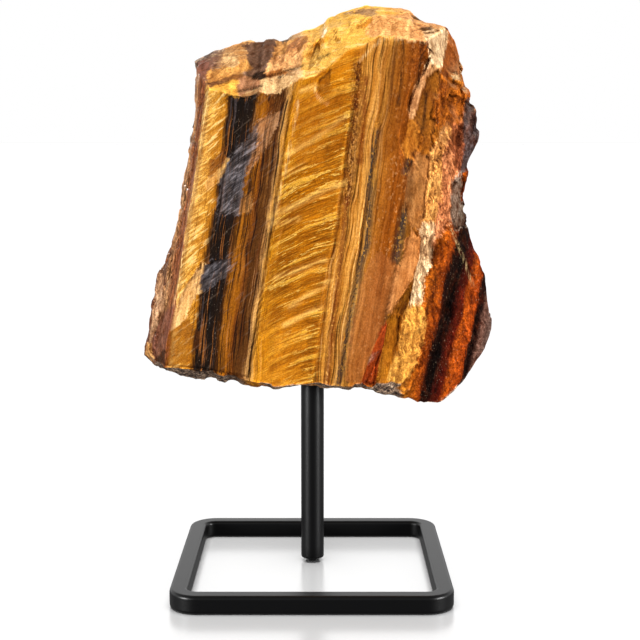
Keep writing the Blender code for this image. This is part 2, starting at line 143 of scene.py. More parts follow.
# Furrows along the layers: upper end (x, z), lower end (x, z), half width, depth
FURROWS = [
    ((12.4, 140.0), (1.0, 56.5), 0.8, 0.5),
    ((18.0, 126.0), (7.4, 56.5), 0.7, 0.45),
    ((23.8, 104.0), (21.5, 90.0), 1.0, 0.5),
    ((42.0, 91.0), (32.0, 53.0), 1.6, 0.9),
    ((47.0, 76.0), (43.0, 57.0), 1.2, 0.8),
    ((25.5, 82.0), (14.5, 57.0), 1.1, 0.8),
]

# Flake scars on the front: centre (x, z), half length, half width, depth, lean in degrees
FRONT_SCARS = [
    (28.6, 134.0, 12.0, 3.6, 2.0, 12.0),
    (28.2, 118.0, 10.0, 3.8, 2.0, -4.0),
    (27.6, 101.0, 12.0, 3.2, 1.6, 4.0),
    (21.5, 66.0, 14.0, 3.4, 1.2, 16.0),
    (39.0, 124.0, 14.0, 6.0, 1.9, 8.0),
    (37.5, 143.0, 9.0, 4.4, 1.2, -12.0),
    (37.0, 104.0, 9.0, 5.0, 1.3, 6.0),
    (34.0, 93.0, 7.0, 4.6, 1.2, 24.0),
    (44.0, 84.0, 8.0, 4.5, 1.0, 14.0),
    (-20.0, 141.0, 6.0, 9.0, 1.0, 80.0),
    (-3.0, 145.0, 5.0, 10.0, 1.2, 62.0),
    (-42.5, 72.0, 10.0, 3.6, 1.0, 8.0),
    (-38.0, 92.0, 9.0, 3.2, 0.9, 14.0),
]
FACES_FRONT = -0.15               # a scar starts only where the normal's y is below this
SKIN_CURVE = 0.72                 # how flat a scar is: near 1, the cap of a wide ball
WOBBLE = 1.3                      # how uneven the scars' rims run
WOBBLE_SCALE = 0.16               # waves per mm
NOISE_SEED = 5

# Broken faces round the sides and behind: how many, their radius and their depth
CHIPS = 90
CHIP_RADIUS = (14.0, 60.0)
CHIP_DEPTH = (0.7, 2.4)
RIM_SHARE = 0.15                  # share of a chip's cut at the rim, growing to 1 at the rear rim
CHIP_SEED = 11

# Small steps where the stone parts along its layers, which stand across X and lean to the right
LAYER_LEAN = 0.15                 # run to the right per mm of height
LAYER_LEAN_RIGHT = 0.004          # and more of it per mm to the right of the ridge
RIDGE_X = 24.0
LEVEL = 97.0                      # the height at which a layer's place is its x
STEP_WIDTH = 3.2
STEP_HEIGHT = 0.55                # on the rough faces; the front face has FACE_STEPS of it
FACE_STEPS = 0.2
STEP_RUN = 0.3                    # the share of a step's width in which it rises
STEP_LEVELS = 64
STEP_SEED = 5

ROUGHNESS = 0.45                  # mm, on the rough sides and back
FACE_ROUGHNESS = 0.16             # and on the smoother front face
ROUGH_WAVES = (0.11, 0.11, 0.6 * 0.11)    # waves per mm along each axis
FINE_ROUGHNESS = 0.16             # finer lumps that the CAD solid leaves out
FINE_FACE_ROUGHNESS = 0.05
FINE_WAVES = (0.55, 0.55, 0.7 * 0.55)
FINE_SEED = 5.0

# Facets broken flat on the front: outline (x, z); how much deeper the facet lies; its slope, as
# mm deeper per mm to the right and per mm up; its colour, and how much of that covers the layers
FACETS = {
    # The long scar's grey-blue over the black layer and its pinkish tan over the brown are a painted
    # reflection on its glossy faces.
    "long scar, black": (
        [(-14.4, 126.4), (-18, 121.6), (-21.5, 117), (-23.8, 113.8), (-24.7, 106.9),
         (-25.6, 102.2), (-19.4, 102.2), (-18.7, 107.4), (-17.6, 113.8), (-14.4, 121.3)],
        0.5, (-0.22, 0.06), "#66646A", 0.7),
    "long scar, brown": (
        [(-14.4, 126.6), (-11, 128.6), (-8.2, 129.6), (-8.5, 127.1), (-11.7, 120.7),
         (-16.8, 113.6), (-17.6, 113.8), (-14.4, 121.3)], 0.4, (-0.22, 0.06), "#C8986C", 0.65),
    "scar foot": (
        [(-16.2, 108.3), (-15.9, 104.5), (-16.7, 102.3), (-19.8, 102.4), (-19.2, 105),
         (-18.7, 106.4)], 0.3, (-0.2, 0.2), "#B8864E", 0.6),
    "low scar": (
        [(-22, 89.9), (-26.9, 89.3), (-29.4, 87.1), (-30.2, 83.6), (-29.9, 81.4), (-26.9, 82.8),
         (-22.8, 85.5)], 0.4, (-0.2, 0.2), "#5E5C62", 0.7),
    "low scar tail": (
        [(-29.6, 89.1), (-33.5, 83.6), (-35.6, 79.3), (-36.5, 77), (-37.8, 72.7), (-38.4, 68.9),
         (-34.5, 74.3), (-32.9, 76.8), (-31.8, 79.3), (-29.9, 81.4), (-30.4, 83.6), (-29.6, 86.9)],
        0.4, (-0.25, 0.15), "#F6CC8C", 0.7),
    "top hollow": (
        [(1.7, 137.9), (4.9, 140.5), (4.6, 132), (2.7, 132.5), (1.4, 135.2)],
        0.5, (-0.1, 0.1), "#8A5008", 0.6),
    "red corner": (
        [(36.6, 152), (38.2, 152), (41, 146.5), (40.8, 139.5), (37.8, 140.4), (35.2, 143),
         (35.8, 146)], 0.0, (0.0, 0.1), "#A8602C", 0.8),
    "pale corner": (
        [(29.8, 150.4), (30.6, 147.5), (31.6, 143.2), (30.4, 140.5), (34.8, 140.3), (35.6, 143.2),
         (36.9, 147.5), (37.3, 151.8)], -0.2, (-0.15, 0.0), "#F6DCB0", 0.8),
    "ridge strip": (
        [(31.4, 142), (29.1, 138.5), (26.9, 134.4), (25.8, 129), (24.6, 125.4), (27.5, 125.9),
         (28.6, 128.6), (30.6, 134.3), (32.3, 138.3), (35.2, 140.8)],
        -1.0, (0.2, 0.0), "#E4AE78", 0.85),
    "diamond": (
        [(25.4, 127.3), (27.2, 127.3), (29.4, 123.1), (29.2, 120.3), (27.2, 117.3), (25.2, 117),
         (22.6, 122.8)], 0.3, (0.1, -0.12), "#C9822C", 0.8),
    "brown hollow": (
        [(30.8, 138.9), (34.1, 140.8), (34.4, 136), (32.8, 130.5), (32.5, 127.8), (33.9, 126.7),
         (32.8, 123.9), (32.8, 120.3), (30, 114), (27.2, 113.8), (29.4, 118.4), (29.4, 123.1),
         (27.2, 127.3), (29.2, 134.1)], 0.9, (0.0, 0.0), "#945A1A", 0.7),
    "warm patch": (
        [(34.4, 136), (35.2, 143), (37.8, 140.4), (38.2, 138), (40.8, 136.5), (41.8, 133),
         (41.4, 127.6), (38.4, 126.8), (34.2, 125.2), (33.9, 126.7), (32.5, 127.8), (32.8, 130.5)],
        0.2, (0.05, 0.0), "#B4661E", 0.75),
    # Its blue-grey is a painted sheen on the black rind.
    "black rind": (
        [(42.2, 132.3), (43.3, 133.5), (46.5, 128), (46.5, 120.3), (43.6, 113.8), (41.2, 113.8),
         (42, 121), (41.5, 126), (42, 129.5)], 0.2, (0.0, 0.0), "#464A50", 0.85),
    "rough red": (
        [(38.4, 126.3), (41.5, 126), (42, 121), (41.2, 113.8), (36.4, 113.8), (35.6, 118.4),
         (37.5, 122.5)], 0.0, (0.0, 0.0), "#985C40", 0.8),
    "pale shoulder": (
        [(38.4, 125.7), (35.3, 123.1), (32.8, 119.8), (31.6, 113.8), (36.4, 113.8), (35.6, 118.4),
         (37.5, 122.5)], 0.0, (0.1, -0.1), "#F0B468", 0.85),
    "pale band": (
        [(31.6, 119), (35.5, 118), (35.5, 112.3), (35, 106.8), (33.6, 100), (30.4, 99.5),
         (30.5, 102.1), (30.8, 106.8), (31.6, 112.3)], 0.0, (0.05, 0.0), "#FFC470", 0.85),
    "pale band foot": (
        [(33.6, 100), (33, 95.7), (33, 91.6), (32.5, 87.3), (30.8, 85), (30.6, 80.6), (30, 77.9),
         (26.7, 77.9), (28, 85.6), (28.9, 89.8), (29.7, 95.8), (29.4, 98.2), (30.4, 99.5)],
        0.0, (0.05, 0.0), "#FFE8BC", 0.85),
    "rough orange": (
        [(35.5, 118), (38.3, 119.2), (39.7, 115.1), (39.2, 110.9), (38.3, 110), (38, 99.9),
         (36.9, 98.5), (35, 95.5), (33.3, 93), (33.6, 100), (35, 106.8), (35.5, 112.3)],
        0.2, (0.1, 0.0), "#E8A070", 0.8),
    "pale crust": (
        [(38.3, 110), (40.8, 112.6), (41.7, 110), (41.4, 105.4), (42.5, 101.6), (42.8, 98.2),
         (41.1, 98), (39.4, 96.8), (38.3, 101.6)], 0.0, (0.0, 0.0), "#948E84", 0.85),
    "dusty facets": (
        [(28.6, 118.3), (32.2, 117.6), (31.6, 112.3), (30.8, 106.8), (30.5, 102.1), (29.4, 98.2),
         (26.9, 98.2), (25.5, 101.6), (25, 106.8), (25.5, 112.3)],
        0.2, (0.1, 0.05), "#AC7844", 0.7),
    "low facet": (
        [(25.3, 95.8), (27.2, 96.8), (29.4, 95.8), (28.9, 89.8), (27.2, 85), (24.1, 80.6),
         (21.6, 76), (20.5, 76), (22.2, 84.7), (24.1, 90)], 0.0, (-0.1, 0.05), "#CC8A50", 0.7),
    "dark wedge": (
        [(27.7, 84.7), (26.8, 80.6), (25.7, 76.8), (24, 74.6), (23.5, 76.8), (24.6, 79.8)],
        0.5, (0.0, 0.0), "#7A4C10", 0.8),
    "golden strip": (
        [(24, 74.6), (21, 74.4), (17.4, 55.8), (21.5, 56), (22.5, 60), (24, 67)],
        0.2, (0.1, 0.0), "#AC6C16", 0.7),
    "red wedge": (
        [(20.1, 72.4), (19, 71.3), (16.8, 66.9), (14.6, 60.6), (13.4, 55.8), (17, 55.4),
         (17.9, 60.6), (19.6, 67.4)], 0.3, (0.0, 0.0), "#B04418", 0.75),
    "yellow break": (
        [(26.3, 76.8), (30.1, 76.8), (31.5, 72), (30.5, 66), (28, 58.5), (24.3, 54.5),
         (20.7, 56.7), (21.2, 59.7), (23.5, 64.6), (24.3, 71.2)],
        0.0, (0.05, 0.0), "#F4BC58", 0.7),
}
CALM_FACETS = ("long scar, black", "long scar, brown", "low scar", "top hollow", "red corner",
               "pale corner", "ridge strip", "diamond", "brown hollow", "dusty facets",
               "low facet", "dark wedge", "golden strip")
CALM = 0.7                        # how much less crumbled these are
FACET_FLATNESS = 0.75             # how much of a facet's own unevenness is planed away
FACET_EDGE = 0.5                  # mm over which it runs out at its outline
FACET_REACH = 2.0                 # the most, in mm, that planing moves the skin
FACET_WOBBLE = 0.35               # how uneven their outlines run, as a share of the scars' rims

# Patches of other colours that lie flush: outline (x, z), colour, how much it covers
PATCHES = {
    "top's far strip": (
        [(8.8, 156.2), (12.8, 157.3), (18.3, 157.4), (16.8, 155.5), (14.9, 154.7), (13.1, 155.3)],
        "#A88460", 0.9),
    "top's pink tan": (
        [(16.7, 154.3), (19.8, 155.1), (26.2, 155.5), (28.8, 153.9), (31.9, 153.1), (28.9, 151.6),
         (29.7, 149.6), (26.7, 147.9), (18.9, 149.1), (16.5, 148.5), (14.1, 149.5), (15.4, 152)],
        "#E6AC6E", 0.9),
    "top's dark spot": (
        [(28.5, 151.2), (31.8, 151.8), (32.3, 150.9), (29.5, 150.6)], "#4A3018", 0.9),
    "top's far spot": ([(27.2, 155), (29.1, 155.1), (29.6, 154.4), (28.2, 154.4)], "#4A3018", 0.9),
    "top's orange streak": (
        [(11.4, 151.8), (13.9, 152.7), (16.6, 153.7), (14.8, 152.1), (12, 151.3)],
        "#B87420", 0.85),
    "top's orange stain": (
        [(0.1, 147.9), (2.6, 149), (5.6, 149.4), (3.5, 147.7), (0.7, 147.2)], "#DC9428", 0.8),
    "tan behind": (
        [(-9.7, 148.7), (-7.9, 148.4), (-1.7, 149.3), (-1.7, 147.6), (-4.5, 145.5), (-7.1, 145.1),
         (-9.8, 145.1), (-10.7, 144), (-10.3, 146.3)], "#D8A05C", 0.9),
    "brown behind": (
        [(-6.7, 147.3), (-4.1, 149.2), (-1.4, 149.6), (-1.7, 147.8), (-4.5, 145.8), (-6.9, 145.3)],
        "#AE7444", 0.85),
    "grey brown": (
        [(-20, 147.6), (-17.5, 148.5), (-12.3, 149.2), (-9.7, 149), (-10.1, 146.3), (-11, 144),
         (-11.5, 142.4), (-14.8, 140.8), (-17, 142), (-17.3, 144.1), (-18, 146.4)],
        "#62483A", 0.95),
    "grey link": (
        [(-14.8, 140.8), (-12.5, 141.9), (-11.2, 142.9), (-11.4, 141.3), (-12.7, 140.3),
         (-16.3, 139.3), (-18.4, 139.8)], "#74584A", 0.9),
    "black spot": (
        [(-16.8, 139), (-14.8, 139.8), (-12.7, 140.3), (-12.6, 138.7), (-14.1, 137.9),
         (-16.3, 138.2)], "#241A16", 0.95),
    "mauve": (
        [(-20.1, 138.2), (-16.3, 138), (-13.6, 137.6), (-13.5, 136.1), (-17.1, 134.5),
         (-19.6, 133.5), (-19.9, 136.1)], "#B0805E", 0.9),
    "cream": (
        [(-13.6, 137.6), (-10.6, 137.9), (-6.9, 138.6), (-3.1, 139.5), (-3.6, 137.5), (-6.2, 136),
         (-7.9, 134.8), (-9.5, 134), (-13.5, 134.1)], "#EEC890", 0.9),
    "pink cream": (
        [(-11.5, 142.9), (-7.1, 145.1), (-2.9, 146.1), (-2.1, 146.3), (-2.5, 143.7),
         (-3.4, 141.4), (-7, 140.2), (-10.6, 139.7), (-12.7, 139.7)], "#EEB87A", 0.9),
    "brown under the crack": (
        [(-12.1, 138.7), (-10.9, 140.5), (-8.1, 140.8), (-7, 139.9), (-9.6, 139.2),
         (-11.1, 138.7)], "#A8682C", 0.9),
    "yellow triangle": (
        [(-27.2, 135.5), (-23.9, 137.1), (-19.8, 138.2), (-19.9, 136.1), (-19.6, 133.3),
         (-20.6, 133.3), (-22.6, 134), (-26.9, 134.8)], "#F2BA50", 0.95),
    "orange streaks": (
        [(-28.3, 139.9), (-26.3, 140.9), (-20.6, 141.4), (-17.5, 143.6), (-17, 141.7),
         (-18.9, 139.8), (-21.9, 138.7), (-25.4, 137.1), (-27.2, 136)], "#D29A50", 0.85),
    "brown streak": (
        [(-27.6, 136.9), (-24.9, 137.7), (-21.4, 139.2), (-18.4, 139.8), (-19.8, 138.2),
         (-23.8, 136.9), (-26.9, 135.7)], "#7C4E26", 0.85),
    "pale top patch": (
        [(-24.7, 145.4), (-22.5, 145.9), (-20.5, 144.2), (-20.1, 142), (-21.6, 141.4),
         (-24.4, 142.8)], "#E2BC84", 0.9),
    "mauve corner": (
        [(-32.3, 143.5), (-30.2, 144.5), (-28.8, 143.8), (-27.8, 142.1), (-28.3, 139.9),
         (-29.5, 137.8), (-30.5, 138.9), (-32.3, 141.9)], "#84584A", 0.9),
    "dull facet": (
        [(-41.9, 86.2), (-39.2, 92.3), (-38.7, 92.8), (-38.8, 90.8), (-40.1, 86), (-41.3, 84.3),
         (-43.2, 85.3)], "#8A6C56", 0.9),
    "light tan": (
        [(-43.5, 84.3), (-41.3, 83.7), (-41.5, 80.6), (-41.1, 76.8), (-42.3, 72.8), (-44.2, 68.6),
         (-45.4, 65.8), (-46.3, 64.3), (-45, 74.6), (-44.3, 79.1)], "#E4BC94", 0.9),
    "mauve strip": (
        [(-41.5, 74.2), (-37.6, 77.3), (-38.2, 72.3), (-39.2, 69.8), (-40.4, 65.5), (-43.5, 61.4),
         (-45.3, 61.5), (-45, 66), (-43.3, 69.5)], "#8A5C4C", 0.85),
    "cream foot": (
        [(-47.9, 61.9), (-46.7, 64.5), (-45.4, 64.9), (-45.2, 61.5), (-45.8, 59.9), (-47.4, 60.3)],
        "#E0AE6C", 0.9),
    "dark foot": ([(-44.5, 60.2), (-40.4, 65.2), (-40.1, 61), (-43.9, 59.3)], "#381A0A", 0.9),
    "brown foot": (
        [(-33.6, 70.4), (-30.5, 70.4), (-30.2, 66.6), (-32.7, 64.1), (-34.9, 66.6)],
        "#5C3416", 0.5),
    "shaded gold, foot": (
        [(-38.5, 70.4), (-35.3, 72.6), (-32.9, 73.7), (-32.6, 61.9), (-39.3, 60.8)],
        "#9C6214", 0.75),
    "shaded gold, top": (
        [(-4.2, 132), (8.9, 136), (8.9, 121.3), (2.2, 114.6), (-4.5, 115.9)], "#AC660C", 0.45),
    "pinker brown": (
        [(17.4, 92.5), (20.5, 91), (22.3, 88), (20, 76), (15.4, 62), (13.3, 56.5), (8.8, 57),
         (10.4, 70), (12.8, 82), (14.8, 88)], "#AA6C3A", 0.5),
    "amber above": (
        [(18.5, 146.5), (27, 147), (26.5, 133), (25, 122), (17, 114), (17.5, 130)],
        "#7A400A", 0.4),
    "scar's pale foot": (
        [(-28.4, 110.6), (-25.1, 113.8), (-22.5, 116.5), (-23.5, 113.2), (-26.7, 109.5),
         (-28.4, 107.9)], "#E8B468", 0.65),
    "brown facet": (
        [(-27.9, 115.2), (-23, 119.8), (-23.7, 115.8), (-27.3, 111.6)], "#8E5620", 0.8),
}
PATCH_BLEND = 1.5                 # mm to each side of an outline in which its edge may wander

# Marks along lines (x, z): half width in mm, and the lines
LINES = {
    "rippled": (14.0, [
        [(11, 130), (6, 121), (4, 114), (-6, 108), (-8, 98)],
        [(4, 98), (-6, 90), (-8, 84)],
        [(8, 88), (5, 76), (2, 62)],
    ]),
    "streak": (1.1, [
        [(-11.2, 101.7), (-4.5, 104.4), (2.2, 107.9), (8.9, 110.6)],
        [(-6.4, 118.1), (-0.5, 121.3), (8.9, 128)],
        [(-5.8, 77.1), (4.9, 84.4)],
        [(-9.8, 85.2), (3.5, 89.7)],
        [(-10.6, 99.5), (-3.5, 101)],
        [(-8.2, 112.5), (-2.0, 115.2)],
        [(-7.4, 72.2), (2.4, 77.4)],
        [(-2.6, 134.8), (0.9, 136.0)],
    ]),
    "scarred": (4.2, [
        [(-16, 121), (-20, 114), (-21.5, 109), (-22, 103)],
        [(-24, 88.5), (-28.5, 84.5)],
    ]),
    "grey": (1.5, [
        [(17.5, 124), (16.7, 118.6), (15.6, 113.2), (15.2, 105.2), (14.8, 98.5), (14.9, 94.5),
         (12.9, 89.2), (12, 83.8), (11, 78.5), (10, 73.1), (9.2, 67.8), (8.6, 62.4), (6.8, 55.7)],
        [(27.4, 119.2), (24.9, 113.5)],
        [(24.8, 102.3), (22.2, 90.2)],
    ]),
    "crack": (0.7, [
        [(-12.4, 138.4), (-7, 140.2), (-2.1, 141.6)],
        [(1.7, 143.4), (4.5, 144.3)],
        [(-19.6, 134.6), (-13.2, 136.1)],
        [(33, 91.6), (33.8, 84), (31.6, 76), (28.6, 70)],
    ]),
    "seam": (1.9, [
        [(12.1, 141.3), (11.6, 130), (10.8, 118.6), (9.4, 106)],
    ]),
    "thin seam": (1.4, [
        [(9.4, 106), (8.9, 102.5), (7.6, 89.2), (5.4, 70.4), (3.8, 55.7)],
        [(14.4, 138), (13.6, 125), (12.9, 116)],
    ]),
    "dark line": (0.8, [
        [(28.9, 147.3), (28.7, 142), (28.2, 136)],
        [(30.6, 134.2), (30.2, 129), (29.6, 124.7)],
        [(24.2, 147.8), (23.8, 140), (22.8, 131)],
    ]),
    "bright edge": (0.35, [
        [(0.9, 135.7), (1.1, 134.1), (2.2, 132.5), (4.1, 131.2)],
    ]),
    "vein": (0.6, [
        [(37.7, 98.7), (40.7, 91.8), (43.8, 83.9), (44.6, 82)],
        [(-27.6, 133.7), (-29, 124.5), (-30.2, 116.6), (-31.9, 105.9), (-34, 95.2), (-35.4, 87.1),
         (-37.5, 77.5)],
        [(-3.6, 132), (-5.2, 124), (-6.6, 116), (-8.6, 108), (-11, 98.6)],
        [(12.7, 142.7), (16.6, 146.6), (19.3, 148.7), (29.8, 147.4)],
    ]),
}

# Rough parts break into small planes, each tipped its own way
HACKLES = 1300
HACKLE_LENGTH = 2.2               # how much longer they are along the layers
HACKLE_SLOPE = 0.26
HACKLE_REACH = 0.42               # the most, in mm, that such a plane stands in or out
HACKLE_WOBBLE = 0.8               # how uneven their edges run, in mm, and its waves per mm
HACKLE_WAVES = 0.7
HACKLE_SEED = 23

# Where the stone's sides are told apart
FACE_TURN, FACE_TURN_RUN = 0.65, 0.25     # the front face is where the normal's -y passes this
FACE_BACK = -9.0                  # the smooth part of it lies in front of this y
UNDERSIDE = 66.0                  # below this height the skin may face the table
TOP_START = 118.0                 # above this height it may belong to the top
TOP_TURN = 0.2                    # the top is where the normal's z passes this: wholly at twice it
CALM_TOP_TURN = 0.3               # and its calm part
TOP_CALM = 0.6                    # how much less broken up that is
UNDERSIDE_CALM = 0.7
FACETS_END = 153.0                # facets lie below this height
FRONT_END = 2.6                   # facets and patches end so far round to the back, and lines
LINES_END = 2.3
SHARP_ANGLE = 38.0                # degrees at which an edge of the stone is a sharp one
CREST_GAIN = 3.0                  # how soon an edge or a cleft counts as a full one

# How the colours' layers differ from the steps' layers
LOW_RIGHT, LOW_RIGHT_RUN = 26.0, 5.0      # right of this x, and below LEVEL, they lean more
LOW_RIGHT_LEAN = 0.08
FACE_DEPTH = -12.0                # from this y on they also run to the left, the deeper they lie
DEPTH_LEAN = 0.1                  # by so much per mm of depth,
DEPTH_LEAN_FROM, DEPTH_LEAN_RUN = -28.0, 6.0      # right of this x
BENDS = [                         # mm to each side, waves per mm along each axis, seed
    (0.9, (0.02, 0.03, 0.03), 3.0),
    (0.7, (0.11, 0.08, 0.08), 9.0),
]

# Rind round the sides, the back and the underside, in mottled patches
RIND_START = 1.6                  # how far round to the back it starts
RIND_START_RIGHT = 1.95           # and right of this x
RIND_RIGHT = 20.0
RIND_GAIN = 2.5                   # how soon it is whole from there
RIND_COVER = 0.45
RIND_COVER_UNDER = 0.7
RIND_MOTTLE = 1.3                 # how uneven it is
RIND_SCALE = 0.09                 # waves per mm
RIND_SEED = 7.0
RIND_MIDDLE, RIND_MIDDLE_RUN = 18.0, 12.0     # nearer to the middle than this it is thinner
RIND_LEAST = 0.35
UNDER_TURN, UNDER_TURN_RUN = 0.2, 0.5     # the underside is where the normal's -z passes this

# Crumbled parts: right of the ridge, and round the sides and the back
CRUMBLE_RUN = 6.0                 # mm right of the ridge in which it comes on
CRUMBLE_START = 0.2               # at the front face's edge
CRUMBLE_SIDES = 0.7               # the most, from the sides on
TOP_UNCRUMBLED = 0.75             # how much less of it the top has
CREAM_END, CREAM_RUN = 134.0, 20.0        # towards this height the cream fades
CREAM_LEAST = 0.3

# ---------------------------------------------------------------- camera, table and light
CAMERA_AT = (0.00218, -0.3788, 0.12217)
CAMERA_PITCH = 82.47              # degrees from looking straight down
CAMERA_LENS = 77.1
CAMERA_SENSOR = 36.0
TABLE_SIZE = 60.0
# The backdrop, from straight below (0) over the horizon (0.5) to straight above (1)
STUDIO_STOPS = [(0.0, "#7A7A7A"), (0.49, "#7A7A7A"), (0.51, "#FFFFFF"), (0.72, "#FFFFFF"),
                (0.84, "#959595")]
FRONT_DIM = 0.25                  # the room's brightness in front, as a share of that behind
# Name, where the light comes from, power
KEYS = [("left_key", (-0.55, -0.65, 0.55), 3.4), ("right_key", (0.65, -0.5, 0.45), 4.4),
        ("back_light", (-0.3, 0.9, 0.25), 2.4)]
KEY_SOFTNESS = 4.0                # degrees
STAND_LIGHTS = [("stand_left", (-0.82, -0.57, 0.08), 3.4), ("stand_right", (0.87, -0.5, 0.08), 3.4)]
STAND_SOFTNESS = 24.0
# The same, and softness: what a white table throws back up at the stone, and what keeps the
# table white
LOW_FILL = ("low_fill", (0.1, -0.6, -0.6), 2.2, 60.0)
OVER_TABLE = ("over_table", (0.0, -0.1, 1.0), 4.1, 50.0)
GAIN = 0.68                       # the stone's own colours, against how they look in this light
TOP_GAIN = 0.70                   # and on its top


def linear(code, gain=1.0):
    """An sRGB hex colour as linear RGBA. gain makes it darker or lighter."""
    parts = [int(code[i:i + 2], 16) / 255 for i in (1, 3, 5)]
    return (*[gain * (c / 12.92 if c <= 0.04045 else ((c + 0.055) / 1.055) ** 2.4)
              for c in parts], 1.0)


def add(tree, kind, links=None, stops=None, gain=1.0, **settings):
    """One node: its settings, its ramp stops if it has any, and its inputs: each a value, a
    socket to link, or a node whose first output in use is linked."""
    made = tree.nodes.new(kind)
    for name, value in settings.items():
        setattr(made, name, value)
    for socket, value in (links or {}).items():
        if isinstance(value, bpy.types.Node):
            value = next(out for out in value.outputs if out.enabled)
        if isinstance(value, bpy.types.NodeSocket):
            tree.links.new(value, made.inputs[socket])
        else:
            made.inputs[socket].default_value = value
    if stops:
        ramp = made.color_ramp.elements
        while len(ramp) < len(stops):
            ramp.new(0.5)
        for element, (position, code) in zip(ramp, stops):
            element.position = position
            element.color = linear(code, gain)
    return made


def new_material(name):
    mat = bpy.data.materials.new(name)
    mat.use_nodes = True
    tree = mat.node_tree
    shader = tree.nodes["Principled BSDF"]
    return mat, tree, shader


def new_object(name, mesh, material):
    mesh.materials.append(material)
    obj = bpy.data.objects.new(name, mesh)
    bpy.context.scene.collection.objects.link(obj)
    return obj


def place(obj, slot, *nodes):
    """Hang a finished object under the root body, and hide the CAD nodes that it takes the place of.
    """
    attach(obj, "root")
    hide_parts(*nodes)


# ================================================================ the stone's shape

def climb(values, start, run):
    """0 up to start, 1 from start + run on, and a straight rise between."""
    return np.clip((values - start) / run, 0.0, 1.0)


def resample(points, count):
    """Evenly spaced points along a polyline."""
    points = np.array(points, dtype=float)
    steps = np.linalg.norm(np.diff(points, axis=0), axis=1)
    along = np.concatenate([[0.0], np.cumsum(steps)])
    wanted = np.linspace(0.0, along[-1], count + 1)
    return np.stack([np.interp(wanted, along, points[:, axis]) for axis in range(2)], axis=1)


def outline_sides(outline):
    """The four sides of an outline as rows of (x, y, z), all in the sense of the outline."""
    corners = outline["depth"]
    sides = []
    for number, (side, count) in enumerate(zip(("left", "top", "right", "bottom"),
                                               (UPWARD, ACROSS, UPWARD, ACROSS))):
        flat = resample(outline[side], count)
        depth = np.linspace(corners[number], corners[(number + 1) % 4], count + 1)
        sides.append(np.stack([flat[:, 0], depth, flat[:, 1]], axis=1))
    return sides


def outline_ring(outline):
    """All the points of an outline, once round."""
    return np.concatenate([side[:-1] for side in outline_sides(outline)])


def cap_grid(outline):
    """A patch over an outline, blended from its four sides (a Coons patch)."""
    left, top, right, bottom = outline_sides(outline)
    right, bottom = right[::-1], bottom[::-1]
    up = np.linspace(0.0, 1.0, UPWARD + 1)[:, None, None]
    across = np.linspace(0.0, 1.0, ACROSS + 1)[None, :, None]
    sides = (1 - across) * left[:, None] + across * right[:, None]
    ends = (1 - up) * bottom[None] + up * top[None]
    corners = ((1 - up) * ((1 - across) * left[0] + across * right[0])
               + up * ((1 - across) * left[-1] + across * right[-1]))
    return sides + ends - corners


def loft_block():
    """The block's points, its faces, and how far round to the back each point lies:
    0 on the front face's edge, 1 on the shoulder, 2 on the rim, 3 and 4 on the rear edges."""
    outlines = [FRONT_FACE, SHOULDER, RIM, REAR_RIM, REAR_FACE]
    rings = [outline_ring(outline) for outline in outlines]
    rows, backness = [rings[0]], [0.0]
    for number, (start, end, count) in enumerate(zip(rings, rings[1:], RINGS_BETWEEN)):
        for step in range(1, count + 1):
            rows.append(start + (end - start) * step / count)
            backness.append(number + step / count)
    round_count = len(rings[0])
    points = np.concatenate(rows)
    backness = np.repeat(backness, round_count)
    faces = []
    for row in range(len(rows) - 1):
        for i in range(round_count):
            j = (i + 1) % round_count
            low, high = row * round_count, (row + 1) * round_count
            faces.append((low + i, low + j, high + j, high + i))
    for outline, first, rear in ((FRONT_FACE, 0, False),
                                 (REAR_FACE, (len(rows) - 1) * round_count, True)):
        grid = cap_grid(outline)
        number = np.empty((UPWARD + 1, ACROSS + 1), dtype=int)
        around = first + np.arange(round_count)
        number[:, 0] = around[:UPWARD + 1]
        number[-1, :] = around[UPWARD:UPWARD + ACROSS + 1]
        number[::-1, -1] = around[UPWARD + ACROSS:2 * UPWARD + ACROSS + 1]
        number[0, :] = np.append(around[2 * UPWARD + ACROSS:], first)[::-1]
        inner = grid[1:-1, 1:-1].reshape(-1, 3)
        number[1:-1, 1:-1] = np.arange(len(inner)).reshape(UPWARD - 1, -1) + len(points)
        points = np.concatenate([points, inner])
        backness = np.concatenate([backness, np.full(len(inner), 5.0 if rear else -1.0)])
        for row in range(UPWARD):
            for column in range(ACROSS):
                quad = (number[row, column], number[row, column + 1],
                        number[row + 1, column + 1], number[row + 1, column])
                faces.append(quad[::-1] if rear else quad)
    return points, [tuple(int(corner) for corner in face) for face in faces], backness


def slow_noise(points, scale, seed=0.0, octaves=3):
    """Fractal noise at each point, about -1 to 1. scale is in waves per mm, one or three."""
    spots = points * np.array(scale) + seed
    return np.array([noise.fractal(Vector(spot), 0.9, 2.1, octaves) for spot in spots])


def wobbled(points):
    """The points, shifted by slow noise, so that a scar's rim isn't a plain oval."""
    noise.seed_set(NOISE_SEED)
    shifts = [noise.noise_vector(Vector(point) * WOBBLE_SCALE) for point in points]
    return points + WOBBLE * np.array(shifts)


def scoop(points, felt, centre, axes, radii):
    """Push what lies inside an ellipsoid out to its skin. Rows of axes are its directions."""
    local = (felt - centre) @ axes.T / radii
    reach = np.linalg.norm(local, axis=1)
    inside = (reach < 1.0) & (reach > TINY)
    push = local[inside] * (1 / reach[inside, None] - 1) * radii
    points[inside] += push @ axes
    felt[inside] += push @ axes


